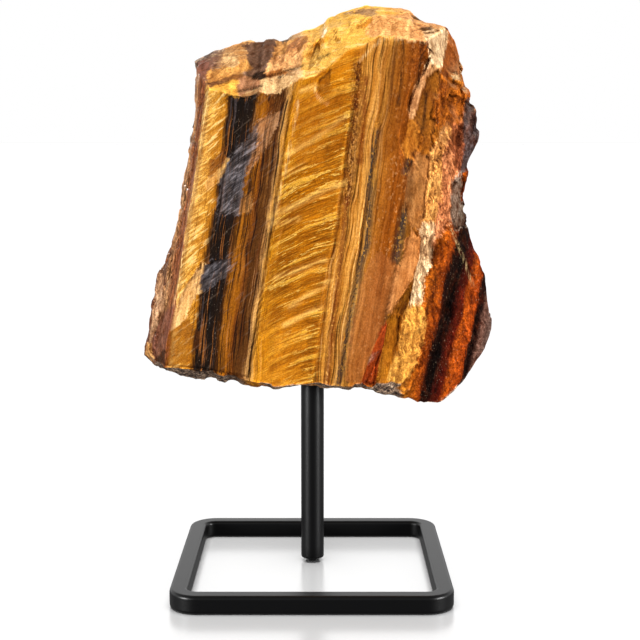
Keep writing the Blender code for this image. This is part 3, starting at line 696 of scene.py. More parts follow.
def cut_front_scars(points, felt, normals):
    """Shallow flake scars: each is a wide ellipsoid that only dips into the skin."""
    front = np.flatnonzero(normals[:, 1] < FACES_FRONT)
    for x, z, half_length, half_width, depth, lean in FRONT_SCARS:
        away = np.hypot(points[front, 0] - x, points[front, 2] - z)
        spot = front[int(away.argmin())]
        out = normals[spot]
        turn = math.radians(lean)
        upright = np.array([math.sin(turn), 0.0, math.cos(turn)])
        long_axis = upright - out * upright.dot(out)
        long_axis /= np.linalg.norm(long_axis)
        axes = np.array([np.cross(out, long_axis), out, long_axis])
        thickness = depth / (1 - SKIN_CURVE)
        stretch = 1 / math.sqrt(1 - SKIN_CURVE ** 2)
        radii = np.array([half_width * stretch, thickness, half_length * stretch])
        scoop(points, felt, points[spot] + out * thickness * SKIN_CURVE, axes, radii)


def chip_edges(points, felt, normals, backness, round_count):
    """Round flakes knocked off the edges at the sides and the back."""
    chance = random.Random(CHIP_SEED)
    whole = points.copy()
    rim_row = sum(RINGS_BETWEEN[:2])
    rear_row = rim_row + RINGS_BETWEEN[2]
    last_row = rear_row + RINGS_BETWEEN[3]
    for _ in range(CHIPS):
        row = rim_row + REFINE * chance.randrange((rear_row - rim_row) // REFINE + 3)
        if row > rear_row:
            row = last_row
        spot = row * round_count + REFINE * chance.randrange(round_count // REFINE)
        radius = chance.uniform(*CHIP_RADIUS)
        depth = chance.uniform(*CHIP_DEPTH)
        centre = points[spot] + normals[spot] * (radius - depth)
        scoop(points, felt, centre, np.eye(3), np.full(3, radius))
    share = np.clip(RIM_SHARE + (1 - RIM_SHARE) * (backness - 2), 0.0, 1.0) * (backness >= 2)
    points[:] = whole + (points - whole) * share[:, None]


def step_ledge(points, face_share):
    """Lower the front face left of the ledge line."""
    (top_x, top_z), (foot_x, foot_z) = LEDGE_TOP, LEDGE_FOOT
    line = foot_x + (points[:, 2] - foot_z) * (top_x - foot_x) / (top_z - foot_z)
    left_of = np.clip((line - points[:, 0]) / LEDGE_RUN, 0.0, 1.0)
    below_top = np.clip((LEDGE_END - points[:, 2]) / LEDGE_FADE, 0.0, 1.0)
    points[:, 1] += LEDGE_DEPTH * left_of * below_top * face_share


def cut_furrows(points, face_share):
    """Grooves along the layers, where a softer one has broken out."""
    for (top_x, top_z), (foot_x, foot_z), half_width, depth in FURROWS:
        slope = (top_x - foot_x) / (top_z - foot_z)
        aside = np.abs(points[:, 0] - foot_x - (points[:, 2] - foot_z) * slope) / half_width
        ends = np.minimum(top_z - points[:, 2], points[:, 2] - foot_z) / (3 * half_width) + 1
        share = np.clip(1 - aside ** 2, 0, 1) * np.clip(ends, 0, 1)
        points[:, 1] += depth * share * face_share


def layer_place(points):
    """Where a point lies across the layers, in mm: the x at which its layer crosses LEVEL."""
    lean = LAYER_LEAN + LAYER_LEAN_RIGHT * np.maximum(points[:, 0] - RIDGE_X, 0.0)
    return points[:, 0] - (points[:, 2] - LEVEL) * lean


def step_layers(points, normals, face_share):
    """Shift each layer in or out a little, all along it."""
    layer = layer_place(points) / STEP_WIDTH
    chance = random.Random(STEP_SEED)
    offsets = np.array([chance.uniform(-1.0, 1.0) for _ in range(STEP_LEVELS)])
    number = np.floor(layer).astype(int)
    within = layer - number
    rise = np.clip((within - 0.5) / STEP_RUN + 0.5, 0.0, 1.0)
    offset = (offsets[number % STEP_LEVELS] * (1 - rise)
              + offsets[(number + 1) % STEP_LEVELS] * rise)
    crossing = 1 - np.abs(normals[:, 0])
    share = crossing * (1 - (1 - FACE_STEPS) * face_share)
    points += normals * (STEP_HEIGHT * offset * share)[:, None]


def vertex_normals(mesh):
    flat = np.empty(len(mesh.vertices) * 3)
    mesh.vertex_normals.foreach_get("vector", flat)
    return flat.reshape(-1, 3)


def set_points(mesh, points):
    mesh.vertices.foreach_set("co", points.ravel())
    mesh.update()


def from_segment(flat, start, end):
    """How far each (x, z) lies from the straight line between two points."""
    run = end - start
    along = np.clip((flat - start) @ run / run.dot(run), 0.0, 1.0)
    return np.linalg.norm(flat - start - along[:, None] * run, axis=1)


def near_line(points, line, half_width):
    """1 on a polyline of (x, z), falling to 0 at half_width from it."""
    corners = np.array(line, dtype=float)
    away = [from_segment(points[:, [0, 2]], start, end)
            for start, end in zip(corners, corners[1:])]
    return np.clip(1.0 - np.min(away, axis=0) / half_width, 0.0, 1.0)


def inside_outline(flat, outline):
    """How far each (x, z) lies inside a closed outline, in mm; negative outside."""
    corners = np.array(outline, dtype=float)
    away = []
    crossings = np.zeros(len(flat), dtype=int)
    for start, end in zip(corners, np.roll(corners, -1, axis=0)):
        away.append(from_segment(flat, start, end))
        spans = (start[1] > flat[:, 1]) != (end[1] > flat[:, 1])
        run_x, run_z = end - start
        crossing_x = start[0] + (flat[:, 1] - start[1]) * run_x / (run_z or TINY)
        crossings += spans & (flat[:, 0] < crossing_x)
    nearest = np.min(away, axis=0)
    return np.where(crossings % 2, nearest, -nearest)


def hackle(points, normals, share):
    """Break the skin into small planes where share is above 0."""
    chance = np.random.default_rng(HACKLE_SEED)
    squeeze = np.array([1.0, 1.0, 1.0 / HACKLE_LENGTH])
    seeds = points[chance.choice(len(points), HACKLES, replace=False)]
    slopes = chance.normal(0.0, HACKLE_SLOPE, (HACKLES, 3))
    levels = chance.uniform(-0.5, 0.5, HACKLES) * HACKLE_REACH
    lookup = kdtree.KDTree(HACKLES)
    for number, seed in enumerate(seeds * squeeze):
        lookup.insert(Vector(seed), number)
    lookup.balance()
    noise.seed_set(HACKLE_SEED)
    shifts = [noise.noise_vector(Vector(spot) * HACKLE_WAVES) for spot in points]
    jagged = points + HACKLE_WOBBLE * np.array(shifts)
    nearest = np.array([lookup.find(Vector(spot))[1] for spot in jagged * squeeze])
    offset = np.einsum("ij,ij->i", points - seeds[nearest], slopes[nearest]) + levels[nearest]
    offset = np.clip(offset, -HACKLE_REACH, HACKLE_REACH)
    points += normals * (offset * share)[:, None]


def plane_facets(points, backness, felt):
    """Plane each facet flat."""
    ahead = (backness < FRONT_END) & (points[:, 2] < FACETS_END)
    for outline, deeper, (slope_x, slope_z), _, _ in FACETS.values():
        inward = inside_outline(felt[:, [0, 2]], outline)
        within = np.flatnonzero(ahead & (inward > -FACET_EDGE))
        core = np.flatnonzero(ahead & (inward > 0))
        terms = np.stack([points[core, 0], points[core, 2], np.ones(len(core))], axis=1)
        plane = np.linalg.lstsq(terms, points[core, 1], rcond=None)[0]
        middle = points[core].mean(axis=0)
        spots = points[within]
        flat_y = spots[:, 0] * plane[0] + spots[:, 2] * plane[1] + plane[2] + deeper
        flat_y += slope_x * (spots[:, 0] - middle[0]) + slope_z * (spots[:, 2] - middle[2])
        share = np.clip(inward[within] / FACET_EDGE + 0.5, 0.0, 1.0)
        shift = np.clip(flat_y - spots[:, 1], -FACET_REACH, FACET_REACH)
        points[within, 1] += FACET_FLATNESS * share * shift


def calm_places(points, backness):
    """1 inside a facet that is broken smooth, 0 outside."""
    depths = [inside_outline(points[:, [0, 2]], FACETS[name][0]) for name in CALM_FACETS]
    return np.clip(np.max(depths, axis=0), 0.0, 1.0) * (backness < FRONT_END)


def patch_tints(points, backness):
    """Each point's patch or facet colour (r, g, b, how far inside it lies) and its cover.
    0.5 inside is the outline itself; the material lets the edge wander about it."""
    tint = np.zeros((len(points), 4))
    cover = np.zeros(len(points))
    best = np.zeros(len(points))
    outside = np.ones(len(points))
    ahead = backness < FRONT_END
    coloured = [(facet[0], facet[3], facet[4]) for facet in FACETS.values()]
    for outline, colour, strength in [*coloured, *PATCHES.values()]:
        inward = inside_outline(points[:, [0, 2]], outline)
        share = np.clip(0.5 + 0.5 * inward / PATCH_BLEND, 0.0, 1.0) * ahead
        wins = (share > 0) & ((share > 0.5) | (share > best))
        tint[wins, :3] = linear(colour, GAIN)[:3]
        cover[wins] = strength
        best[wins] = share[wins]
        outside *= 1 - share
    tint[:, 3] = 1 - outside
    return tint, cover


def crest(mesh, points, normals):
    """How far each point stands out of its neighbours, about -1 in a cleft to 1 on an edge."""
    ends = np.empty(len(mesh.edges) * 2, dtype=int)
    mesh.edges.foreach_get("vertices", ends)
    first, second = ends.reshape(-1, 2).T
    total = np.zeros_like(points)
    count = np.zeros(len(points))
    length = np.zeros(len(points))
    spans = np.linalg.norm(points[first] - points[second], axis=1)
    for a, b in ((first, second), (second, first)):
        np.add.at(total, a, points[b])
        np.add.at(count, a, 1)
        np.add.at(length, a, spans)
    lift = np.einsum("ij,ij->i", points - total / count[:, None], normals)
    return np.clip(lift / (length / count) * CREST_GAIN, -1.0, 1.0)


def colour_layer(points):
    """Like layer_place, for the colours, which lean more at the lower right."""
    right = climb(points[:, 0], LOW_RIGHT, LOW_RIGHT_RUN) * (points[:, 2] < LEVEL)
    layer = layer_place(points) - (points[:, 2] - LEVEL) * LOW_RIGHT_LEAN * right
    layer += (DEPTH_LEAN * (points[:, 1] - FACE_DEPTH)
              * climb(points[:, 0], DEPTH_LEAN_FROM, DEPTH_LEAN_RUN))
    for width, waves, seed in BENDS:
        layer += width * slow_noise(points, waves, seed, octaves=2)
    return layer


def add_field(mesh, name, values):
    kind, member = ("FLOAT_VECTOR", "vector") if values.ndim == 2 else ("FLOAT", "value")
    field = mesh.attributes.new(name, kind, "POINT")
    field.data.foreach_set(member, np.ascontiguousarray(values, dtype=np.float32).ravel())


def silk_place(points, layer):
    """Coordinates in which the silk's waves run straight: they rise to the right, the steeper
    the nearer they are to the gold layers' left side."""
    gold = np.clip(layer - SILK_START, 0.0, SILK_WIDTH)
    rise = SILK_RISE * gold - SILK_BEND * gold ** 2
    rise += OUTER_SILK_RISE * np.minimum(layer - SILK_START, 0.0)
    return np.stack([layer, points[:, 1], points[:, 2] - rise], axis=1)


def rind_share(points, normals, backness):
    """How much rind covers each point."""
    mottle = slow_noise(points, RIND_SCALE, RIND_SEED)
    from_start = backness - np.where(points[:, 0] > RIND_RIGHT, RIND_START_RIGHT, RIND_START)
    side = np.clip(from_start * RIND_GAIN, 0.0, 1.0) * (backness < 5)
    rind = side * np.clip(RIND_COVER + RIND_MOTTLE * mottle, 0.0, 1.0)
    rind *= np.maximum(climb(np.abs(points[:, 0]), RIND_MIDDLE, RIND_MIDDLE_RUN), RIND_LEAST)
    under = climb(-normals[:, 2], UNDER_TURN, UNDER_TURN_RUN) * (points[:, 2] < UNDERSIDE)
    return np.maximum(rind, under * np.clip(RIND_COVER_UNDER + mottle, 0.0, 1.0))


def paint_fields(mesh, points, backness):
    """What the stone's material reads at each point, besides its place."""
    normals = vertex_normals(mesh)
    layer = colour_layer(points)
    tint, cover = patch_tints(points, backness)
    add_field(mesh, "layer", layer)
    add_field(mesh, "along", np.stack([layer, points[:, 1], points[:, 2]], axis=1))
    add_field(mesh, "across", silk_place(points, layer))
    top = climb(normals[:, 2], TOP_TURN, TOP_TURN) * (points[:, 2] > TOP_START)
    add_field(mesh, "top", top)
    add_field(mesh, "rind", rind_share(points, normals, backness))
    crumble = np.maximum(np.clip(CRUMBLE_START + backness, 0.0, CRUMBLE_SIDES),
                         climb(points[:, 0], RIDGE_X, CRUMBLE_RUN))
    crumble = crumble * (1 - TOP_UNCRUMBLED * top) * (1 - CALM * calm_places(points, backness))
    add_field(mesh, "crumble", crumble)
    shares = {name: np.interp(layer, *np.array(stops).T) * (1 - top)
              for name, stops in LAYER_SHARES.items()}
    for name, (half_width, lines) in LINES.items():
        marks = [near_line(points, line, half_width) for line in lines]
        shares[name] = np.max(marks, axis=0) * (backness < LINES_END)
    shares["rippled"] *= shares["silk"]
    shares["creamy"] *= np.maximum(climb(-points[:, 2], -CREAM_END, CREAM_RUN), CREAM_LEAST)
    for name, share in shares.items():
        add_field(mesh, name, share)
    add_field(mesh, "crest", crest(mesh, points, normals))
    add_field(mesh, "cover", cover)
    shade = mesh.color_attributes.new("tint", "FLOAT_COLOR", "POINT")
    shade.data.foreach_set("color", np.ascontiguousarray(tint, dtype=np.float32).ravel())


def make_stone():
    points, faces, backness = loft_block()
    round_count = 2 * (UPWARD + ACROSS)
    mesh = bpy.data.meshes.new("stone_skin")
    mesh.from_pydata(points.tolist(), [], faces)
    normals = vertex_normals(mesh)
    face_share = climb(-normals[:, 1], FACE_TURN, FACE_TURN_RUN)
    felt = wobbled(points)
    chip_edges(points, felt, normals, backness, round_count)
    cut_front_scars(points, felt, normals)
    step_ledge(points, face_share)
    cut_furrows(points, face_share)
    step_layers(points, normals, face_share)
    set_points(mesh, points)
    normals = vertex_normals(mesh)
    on_face = np.clip((FACE_BACK - points[:, 1]) + 0.5, 0.0, 1.0)
    rough = slow_noise(points, ROUGH_WAVES)
    points += normals * (rough * (ROUGHNESS + (FACE_ROUGHNESS - ROUGHNESS) * on_face))[:, None]
    plane_facets(points, backness, points + FACET_WOBBLE * (felt - points))
    smooth_top = climb(normals[:, 2], CALM_TOP_TURN, CALM_TOP_TURN) * (points[:, 2] > TOP_START)
    calm = CALM * calm_places(points, backness)
    share = np.clip(backness, 0.0, 1.0) * (1 - TOP_CALM * smooth_top) * (1 - calm)
    share *= 1 - UNDERSIDE_CALM * np.clip(-normals[:, 2], 0.0, 1.0) * (points[:, 2] < UNDERSIDE)
    hackle(points, normals, share)
    fine = slow_noise(points, FINE_WAVES, FINE_SEED)
    lift = fine * (FINE_ROUGHNESS + (FINE_FACE_ROUGHNESS - FINE_ROUGHNESS) * on_face)
    points += normals * lift[:, None]
    set_points(mesh, points)
    paint_fields(mesh, points, backness)
    set_points(mesh, points * MM)
    mesh.shade_smooth()
    mesh.set_sharp_from_angle(angle=math.radians(SHARP_ANGLE))
    stone = new_object("rough_stone", mesh, tigers_eye())
    place(stone, "tigers_eye", "stone")
    return stone


# ================================================================ materials
# Sockets are given by number where several share a name. Map Range: 0 value, 1 and 2 the range
# it comes from, 3 and 4 the range it goes to. Mix: 0 share, 6 and 7 colours. Math: 0, 1, 2.

# Layers across the stone: place in mm, and colour
LEFT_LAYERS = [
    (-56, "#B08A64"), (-50, "#8A6248"), (-46.5, "#6E4434"), (-44.5, "#B06A2C"), (-42.5, "#7A4A34"),
    (-39, "#A87050"), (-37.0, "#E8B47C"), (-35.8, "#B4744A"), (-34.0, "#A05C38"),
    (-33.3, "#FFCC70"), (-31.8, "#F4BC58"), (-29.4, "#E6A63C"), (-28, "#C07C1C"),
    (-27.2, "#54300C"), (-26.6, "#1A120C"), (-24, "#16110D"), (-21, "#20160E"), (-20.2, "#54300C"),
    (-19.4, "#9E6012"), (-17.4, "#94560E"), (-16.2, "#743F14"), (-15.4, "#54300F"),
    (-13.0, "#5A3616"), (-12.2, "#7E5630"), (-11.5, "#D4A058"), (-10.7, "#C88A30"),
    (-9.8, "#D08810"), (-4, "#CC7E0A"), (2, "#D6840C"), (5.4, "#C87C10"), (8.0, "#9A5A14"),
]
RIGHT_LAYERS = [
    (5.4, "#C87C10"), (6.4, "#A8620E"), (7.8, "#C48430"),
    (9.0, "#DC9A40"), (10.2, "#B06C1C"), (11.4, "#E0A048"), (12.4, "#A8681E"), (13.6, "#D09038"),
    (14.3, "#9A6220"), (14.9, "#7A5226"), (15.5, "#A86820"), (20, "#984F10"),
    (22.6, "#8A4A10"), (23.6, "#54381E"), (24.3, "#6A4418"), (25.2, "#8E5614"), (29, "#9C5C12"),
    (32, "#D08428"), (35.5, "#C46C18"), (38.5, "#AE5610"), (41.2, "#84380A"), (42.1, "#1C0A06"),
    (45.2, "#0A0605"), (46.2, "#380C06"), (48.4, "#5E1808"), (49.8, "#B45412"), (53.4, "#A8460E"),
    (54.2, "#20100C"), (56, "#281410"), (57.2, "#76564A"), (60, "#5C4C46"),
]
# The top's colours are paler than the face's: partly the break's own colour, partly painted light
# falling on the top.
TOP_LAYERS = [
    (-44, "#6E5146"), (-33, "#7A5A4C"), (-30, "#B88C5E"), (-26, "#C08A50"), (-22, "#B98A58"),
    (-19, "#6A5444"), (-14, "#54463C"), (-12, "#B08A60"), (-9.6, "#EBC08C"), (-8.6, "#F0BC60"),
    (-4, "#F4BE58"), (0, "#F4BE54"), (8, "#F2BC52"), (14, "#EFB34E"), (18, "#E2A468"), (24, "#DCA064"),
    (28, "#D69A5C"), (31, "#E6C28C"), (36, "#A8704E"), (44, "#5F4E4A"),
]
RIND_STOPS = [(0.3, "#2C2826"), (0.42, "#605650"), (0.5, "#8C7E74"), (0.58, "#B49A80"),
              (0.68, "#E0CAAC")]
LEFT_RANGE = (-56.0, 8.0)         # the places that each table's colour ramp runs between
RIGHT_RANGE = (5.4, 60.0)
TOP_RANGE = (-44.0, 44.0)
SPLIT = 5.4                       # where the right layers take over from the left ones

# How much of each texture a layer carries: place in mm, share
LAYER_SHARES = {
    "silk": [(-28.5, 0), (-11.5, 0), (-10, 0.7), (-7, 1), (5, 1), (6.5, 0.3), (8, 0.1), (22, 0)],
    "rungs": [(-34, 0), (-33.3, 1), (-28.4, 1), (-27.2, 0)],
    "creamy": [(-13, 0), (-12, 0.8), (-10, 0.5), (-8, 0), (5.4, 0), (6.5, 1), (14, 1), (16, 0)],
    "fibrous": [(-56, 0.8), (-36, 0.9), (-34, 0.5), (-33.2, 0.1), (-26, 0.1), (-21, 0.1),
                (-19.5, 0.8), (-12, 1), (-8, 0.4), (-4, 0.1), (4, 0.1), (6, 0.9), (14, 1),
                (17, 0.4), (24, 0.4), (30, 0.1), (60, 0.1)],
    "black": [(-27, 0), (-26, 1), (-21, 1), (-20, 0)],
    "smooth": [(15, 0), (16, 1), (23, 1), (24, 0)],
    "slant": [(-30, 0), (-27.5, 1), (-12, 1), (-10.5, 0)],
}
SILK_START, SILK_WIDTH = -11.0, 18.0
SILK_RISE, SILK_BEND = 0.72, 0.014     # slope at the left side, and how fast it eases off
OUTER_SILK_RISE = 0.85

# The stone's grains: the coordinates they run in, waves per mm along each, detail, roughness
GRAINS = {
    "ragged": ("spot", (0.3, 0.3, 0.12), 4.0, 0.62),
    "frayed": ("spot", (3.0, 3.0, 0.18), 3.0, 0.6),
    "bundles": ("along", (0.9, 0.3, 0.05), 4.0, 0.66),
    "fibres": ("along", (1.9, 0.9, 0.05), 4.0, 0.62),
    "ripples": ("across", (0.08, 0.3, 0.7), 4.0, 0.62),
    "rungs": ("across", (0.28, 0.3, 0.8), 2.0, 0.6),
    "threads": ("across", (0.3, 0.6, 3.2), 2.0, 0.6),
    "waves": ("across", (0.08, 0.1, 0.22), 3.0, 0.55),
    "crumbs": ("spot", (1.1, 1.1, 0.8), 3.0, 0.7),
    "blotches": ("spot", (0.34, 0.34, 0.2), 5.0, 0.66),
    "specks": ("spot", (2.8, 2.8, 2.0), 1.0, 0.5),
    "patches": ("spot", (0.15, 0.15, 0.1), 4.0, 0.65),
    "shelves": ("spot", (0.14, 0.5, 1.1), 4.0, 0.62),
}
# Small broken planes, each of its own shade: how many per mm along each axis
FLAKES = {
    "flakes": (0.85, 0.85, 0.6),
    "grit": (2.2, 2.2, 1.6),
}
# Thin lines where a grain passes a value: the grain, the value, the half width
GRAIN_LINES = {
    # crest_highlights and cleft_shadows: where a painted highlight and a painted shadow run along the
    # ripples' steps
    "crest_highlights": ("ripples", 0.56, 0.014),
    "cleft_shadows": ("ripples", 0.525, 0.014),
    "cracks": ("shelves", 0.5, 0.008),
    "checks": ("rungs", 0.5, 0.016),
}

# Colour touches, in order: grain, its value where the touch starts and where it is full, how
# strong it is there, the texture it belongs to (None: any), colour
LAYER_TOUCHES = [
    ("bundles", 0.46, 0.34, 0.6, "fibrous", "#5A2A0C"),
    ("bundles", 0.55, 0.66, 0.3, "fibrous", "#C8843C"),
    ("bundles", 0.52, 0.6, 0.5, "creamy", "#E09C3C"),
    ("fibres", 0.48, 0.4, 0.85, "fibrous", "#241006"),
    ("fibres", 0.6, 0.66, 0.3, "fibrous", "#E0A468"),
    ("fibres", 0.55, 0.61, 0.7, "creamy", "#F4BC6C"),
    ("fibres", 0.56, 0.63, 0.7, "black", "#A4642C"),
    ("bundles", 0.53, 0.63, 0.35, "black", "#545258"),
    ("blotches", 0.5, 0.34, 0.45, "smooth", "#7A3C08"),
    ("fibres", 0.5, 0.35, 0.35, "smooth", "#7A3C08"),
    ("fibres", 0.58, 0.7, 0.2, "smooth", "#C88444"),
    ("grit", 0.78, 0.9, 0.25, "smooth", "#E8B070"),
    ("grit", 0.3, 0.15, 0.45, "smooth", "#6E3406"),
    # The silk and rippled rows paint the gold layers' shimmer into the colour as light and dark
    # streaks: a painted sheen.
    ("patches", 0.5, 0.6, 0.55, "silk", "#A05C08"),
    ("waves", 0.5, 0.62, 0.65, "silk", "#A45C04"),
    ("waves", 0.44, 0.34, 0.5, "silk", "#E89C24"),
    ("ripples", 0.48, 0.38, 0.35, "silk", "#8A4A02"),
    ("ripples", 0.58, 0.66, 0.3, "silk", "#F0B030"),
    ("ripples", 0.5, 0.42, 0.75, "rippled", "#824402"),
    ("ripples", 0.55, 0.61, 0.85, "rippled", "#F8BE44"),
    ("threads", 0.46, 0.34, 0.45, "silk", "#7E4202"),
    ("threads", 0.56, 0.66, 0.4, "silk", "#F6BC40"),
    ("flakes", 0.2, 0.05, 0.35, "silk", "#7E4202"),
    # a painted highlight along each ripple's step, and a painted shadow beside it
    ("crest_highlights", 0.0, 1.0, 0.85, "rippled", "#FFD468"),
    ("cleft_shadows", 0.0, 1.0, 0.7, "rippled", "#743C02"),
    # The rungs rows paint the yellow band's silk shimmer as light and dark streaks, a painted sheen;
    # the checks row draws dark lines across it.
    ("patches", 0.5, 0.6, 0.45, "rungs", "#B06C10"),
    ("rungs", 0.48, 0.42, 0.75, "rungs", "#A8660E"),
    ("rungs", 0.56, 0.62, 0.7, "rungs", "#FFDC8C"),
    ("checks", 0.0, 1.0, 0.6, "rungs", "#6E3606"),
    ("fibres", 0.42, 0.36, 0.4, "rungs", "#7A4208"),
    # light diagonal streaks in the gold: more painted silk sheen
    ("ripples", 0.36, 0.5, 0.75, "streak", "#FFCA68"),
    ("frayed", 0.36, 0.46, 0.9, "grey", "#3E3A36"),
    ("grit", 0.68, 0.8, 0.8, "grey", "#C89038"),
    ("specks", 0.55, 0.64, 0.8, "grey", "#141210"),
    ("frayed", 0.7, 0.45, 0.85, "seam", "#5A1E06"),
    ("crumbs", 0.56, 0.44, 0.95, "seam", "#3C1002"),
    ("crumbs", 0.64, 0.54, 0.85, "thin seam", "#6A2808"),
]
TOP_TOUCHES = [
    ("shelves", 0.54, 0.68, 0.5, None, "#FFE0A0"),
    ("shelves", 0.46, 0.34, 0.5, None, "#C48434"),
    ("cracks", 0.0, 1.0, 0.5, None, "#7A4A1C"),
]
# How grains shade a colour: grain, a low value and its tone, a high value and its tone. The tone
# #BCBCBC leaves the colour as it is.
PATCH_TONES = [
    ("bundles", 0.36, "#A29C95", 0.64, "#D2D2D2"),
    ("blotches", 0.4, "#A89C90", 0.6, "#C6C8C8"),
]
# Darker in the clefts and creases, a painted shade, and lighter on the edges that stand out; the
# specks row is a tone at random.
CLEFT_SHADE_AND_SPECK_TONES = [
    ("crest", -0.7, "#887E78", 0.8, "#E0E0E0"),
    ("specks", 0.34, "#AEAAA8", 0.66, "#CCCCCC"),
]
CRUMBLE_TONES = [
    ("crumbs", 0.34, "#958981", 0.66, "#DADADA"),
    ("flakes", 0.1, "#9E9893", 0.9, "#DADADA"),
    ("grit", 0.1, "#A9A5A3", 0.9, "#CECECE"),
]
SKIN_TOUCHES = [
    ("blotches", 0.48, 0.38, 0.55, "crumble", "#4A1A06"),
    ("specks", 0.36, 0.3, 0.5, "crumble", "#2A0E04"),
    # pale specks on the crumbled parts: painted glints of light on small crystals
    ("specks", 0.68, 0.74, 0.12, "crumble", "#FFE8C0"),
    ("specks", 0.6, 0.68, 0.35, "seam", "#F0B060"),
    ("specks", 0.7, 0.76, 0.5, "black", "#8A7C6C"),
    ("fibres", 0.46, 0.38, 0.6, "slant", "#1A1210"),
    ("threads", 0.44, 0.34, 0.4, "slant", "#1A1210"),
    # faint light diagonal streaks: a painted sheen
    ("rungs", 0.59, 0.67, 0.1, "slant", "#A8927E"),
    ("rungs", 0.5, 0.42, 0.9, "scarred", "#1C181A"),
    ("threads", 0.5, 0.4, 0.6, "scarred", "#1C181A"),
    # light grey streaks on the scars: a painted sheen
    ("rungs", 0.56, 0.62, 0.5, "scarred", "#A09AA0"),
    ("specks", 0.32, 0.26, 0.6, "top", "#6A4420"),
    ("specks", 0.68, 0.76, 0.6, "silk", "#6A3002"),
    ("frayed", 0.46, 0.56, 0.6, "vein", "#F8D898"),
    ("frayed", 0.4, 0.5, 0.3, "bright edge", "#FFE8B8"),
    ("frayed", 0.36, 0.46, 0.95, "crack", "#1C0C04"),
    ("frayed", 0.36, 0.46, 0.9, "dark line", "#20100A"),
]
LAYERS_WANDER = 1.1               # how far, in mm, the layers' edges wander to each side
LAYERS_FRAY = 1.3                 # and how far their fibres fray them
PATCHES_FRAY = 0.35               # how far a patch's edge frays, as a share of its blend
PATCH_EDGE = (0.42, 0.58)         # where in the blend the patch starts, and where it is full
FLAKE_BEND = (1.2, 1.2, 1.2)      # how crooked the flakes' edges are, in mm
FLAKE_BEND_SCALE = 1.2            # waves per mm
SKIN_ROUGHNESS = (0.32, 0.55)     # how matt the shader is, on its glossiest and dullest grains
RIND_ROUGHNESS = 0.2              # and how much more so on the rind
RIND_PATCHY = (0.7, 1.2)          # how much the rind's share varies from patch to patch
RIND_EDGE = (0.3, 0.7)            # the share at which it starts to show, and at which it covers
STONE_SPECULAR = 0.03

# Relief: grain, height in mm, the texture it belongs to
RELIEF = [
    ("fibres", 0.35, "fibrous"),
    ("bundles", 0.5, "fibrous"),
    ("ripples", 0.8, "silk"),
    ("ripples", 1.6, "rippled"),
    ("threads", 0.12, "silk"),
    ("rungs", 0.9, "rungs"),
    ("crumbs", 1.2, "crumble"),
    ("flakes", 0.22, "crumble"),
    ("fibres", 0.25, "black"),
    ("shelves", 0.6, "top"),
]

COAT_BLACK = "#060607"
COAT_WAVES = 2.6                  # waves of its orange peel per mm, and their height
COAT_PEEL = 0.06 * MM
COAT_ROUGHNESS = 0.34
TABLE_WHITE = "#E6E6E6"
TABLE_MIRROR = 0.5                # the share of its look that is reflection
TABLE_ROUGHNESS = 0.22


def spread(layers, limits):
    """Layer places in mm turned into places along a colour ramp."""
    low, high = limits
    return [((place_mm - low) / (high - low), code) for place_mm, code in layers]


def stone_grains(tree):
    """The noises that the stone's colour and relief are made of, by name."""
    place_m = add(tree, "ShaderNodeTexCoord").outputs["Object"]
    ways = {"spot": add(tree, "ShaderNodeVectorMath", {0: place_m, 3: 1 / MM}, operation="SCALE")}
    for name in ("along", "across"):
        way = add(tree, "ShaderNodeAttribute", attribute_name=name)
        ways[name] = way.outputs["Vector"]
    grains = {}
    for name, (way, per_mm, detail, rough) in GRAINS.items():
        stretched = add(tree, "ShaderNodeVectorMath", {0: ways[way], 1: per_mm},
                        operation="MULTIPLY")
        grains[name] = add(tree, "ShaderNodeTexNoise", {
            "Vector": stretched, "Scale": 1.0, "Detail": detail, "Roughness": rough})
    bend = add(tree, "ShaderNodeTexNoise", {"Vector": ways["spot"], "Scale": FLAKE_BEND_SCALE,
                                            "Detail": 2.0})
    bent = add(tree, "ShaderNodeVectorMath", {0: bend.outputs["Color"], 1: FLAKE_BEND,
                                              2: ways["spot"]}, operation="MULTIPLY_ADD")
    for name, per_mm in FLAKES.items():
        squeezed = add(tree, "ShaderNodeVectorMath", {0: bent, 1: per_mm}, operation="MULTIPLY")
        cells = add(tree, "ShaderNodeTexVoronoi", {"Vector": squeezed, "Scale": 1.0})
        grains[name] = cells.outputs["Color"]
    for name, (grain, value, half_width) in GRAIN_LINES.items():
        grains[name] = add(tree, "ShaderNodeMath", {0: grains[grain], 1: value, 2: half_width},
                           operation="COMPARE")
    return grains


def shaded(tree, grains, colour, tones):
    """The colour multiplied by what each grain makes of it."""
    for grain, low, dark, high, light in tones:
        tone = add(tree, "ShaderNodeMapRange", {0: grains[grain], 1: low, 2: high})
        tone = add(tree, "ShaderNodeMix", {0: tone, 6: linear(dark, 2.0), 7: linear(light, 2.0)},
                   data_type="RGBA")
        colour = add(tree, "ShaderNodeMix", {0: 1.0, 6: colour, 7: tone}, data_type="RGBA",
                     blend_type="MULTIPLY")
    return colour


def touched(tree, grains, fields, colour, touches, gain):
    """The colour with other colours laid over it where a grain and a texture call for them."""
    for grain, low, high, strength, where, code in touches:
        share = add(tree, "ShaderNodeMapRange", {0: grains[grain], 1: low, 2: high, 4: strength})
        if where:
            share = add(tree, "ShaderNodeMath", {0: share, 1: fields[where]},
                        operation="MULTIPLY")
        colour = add(tree, "ShaderNodeMix", {0: share, 6: colour, 7: linear(code, gain)},
                     data_type="RGBA")
    return colour


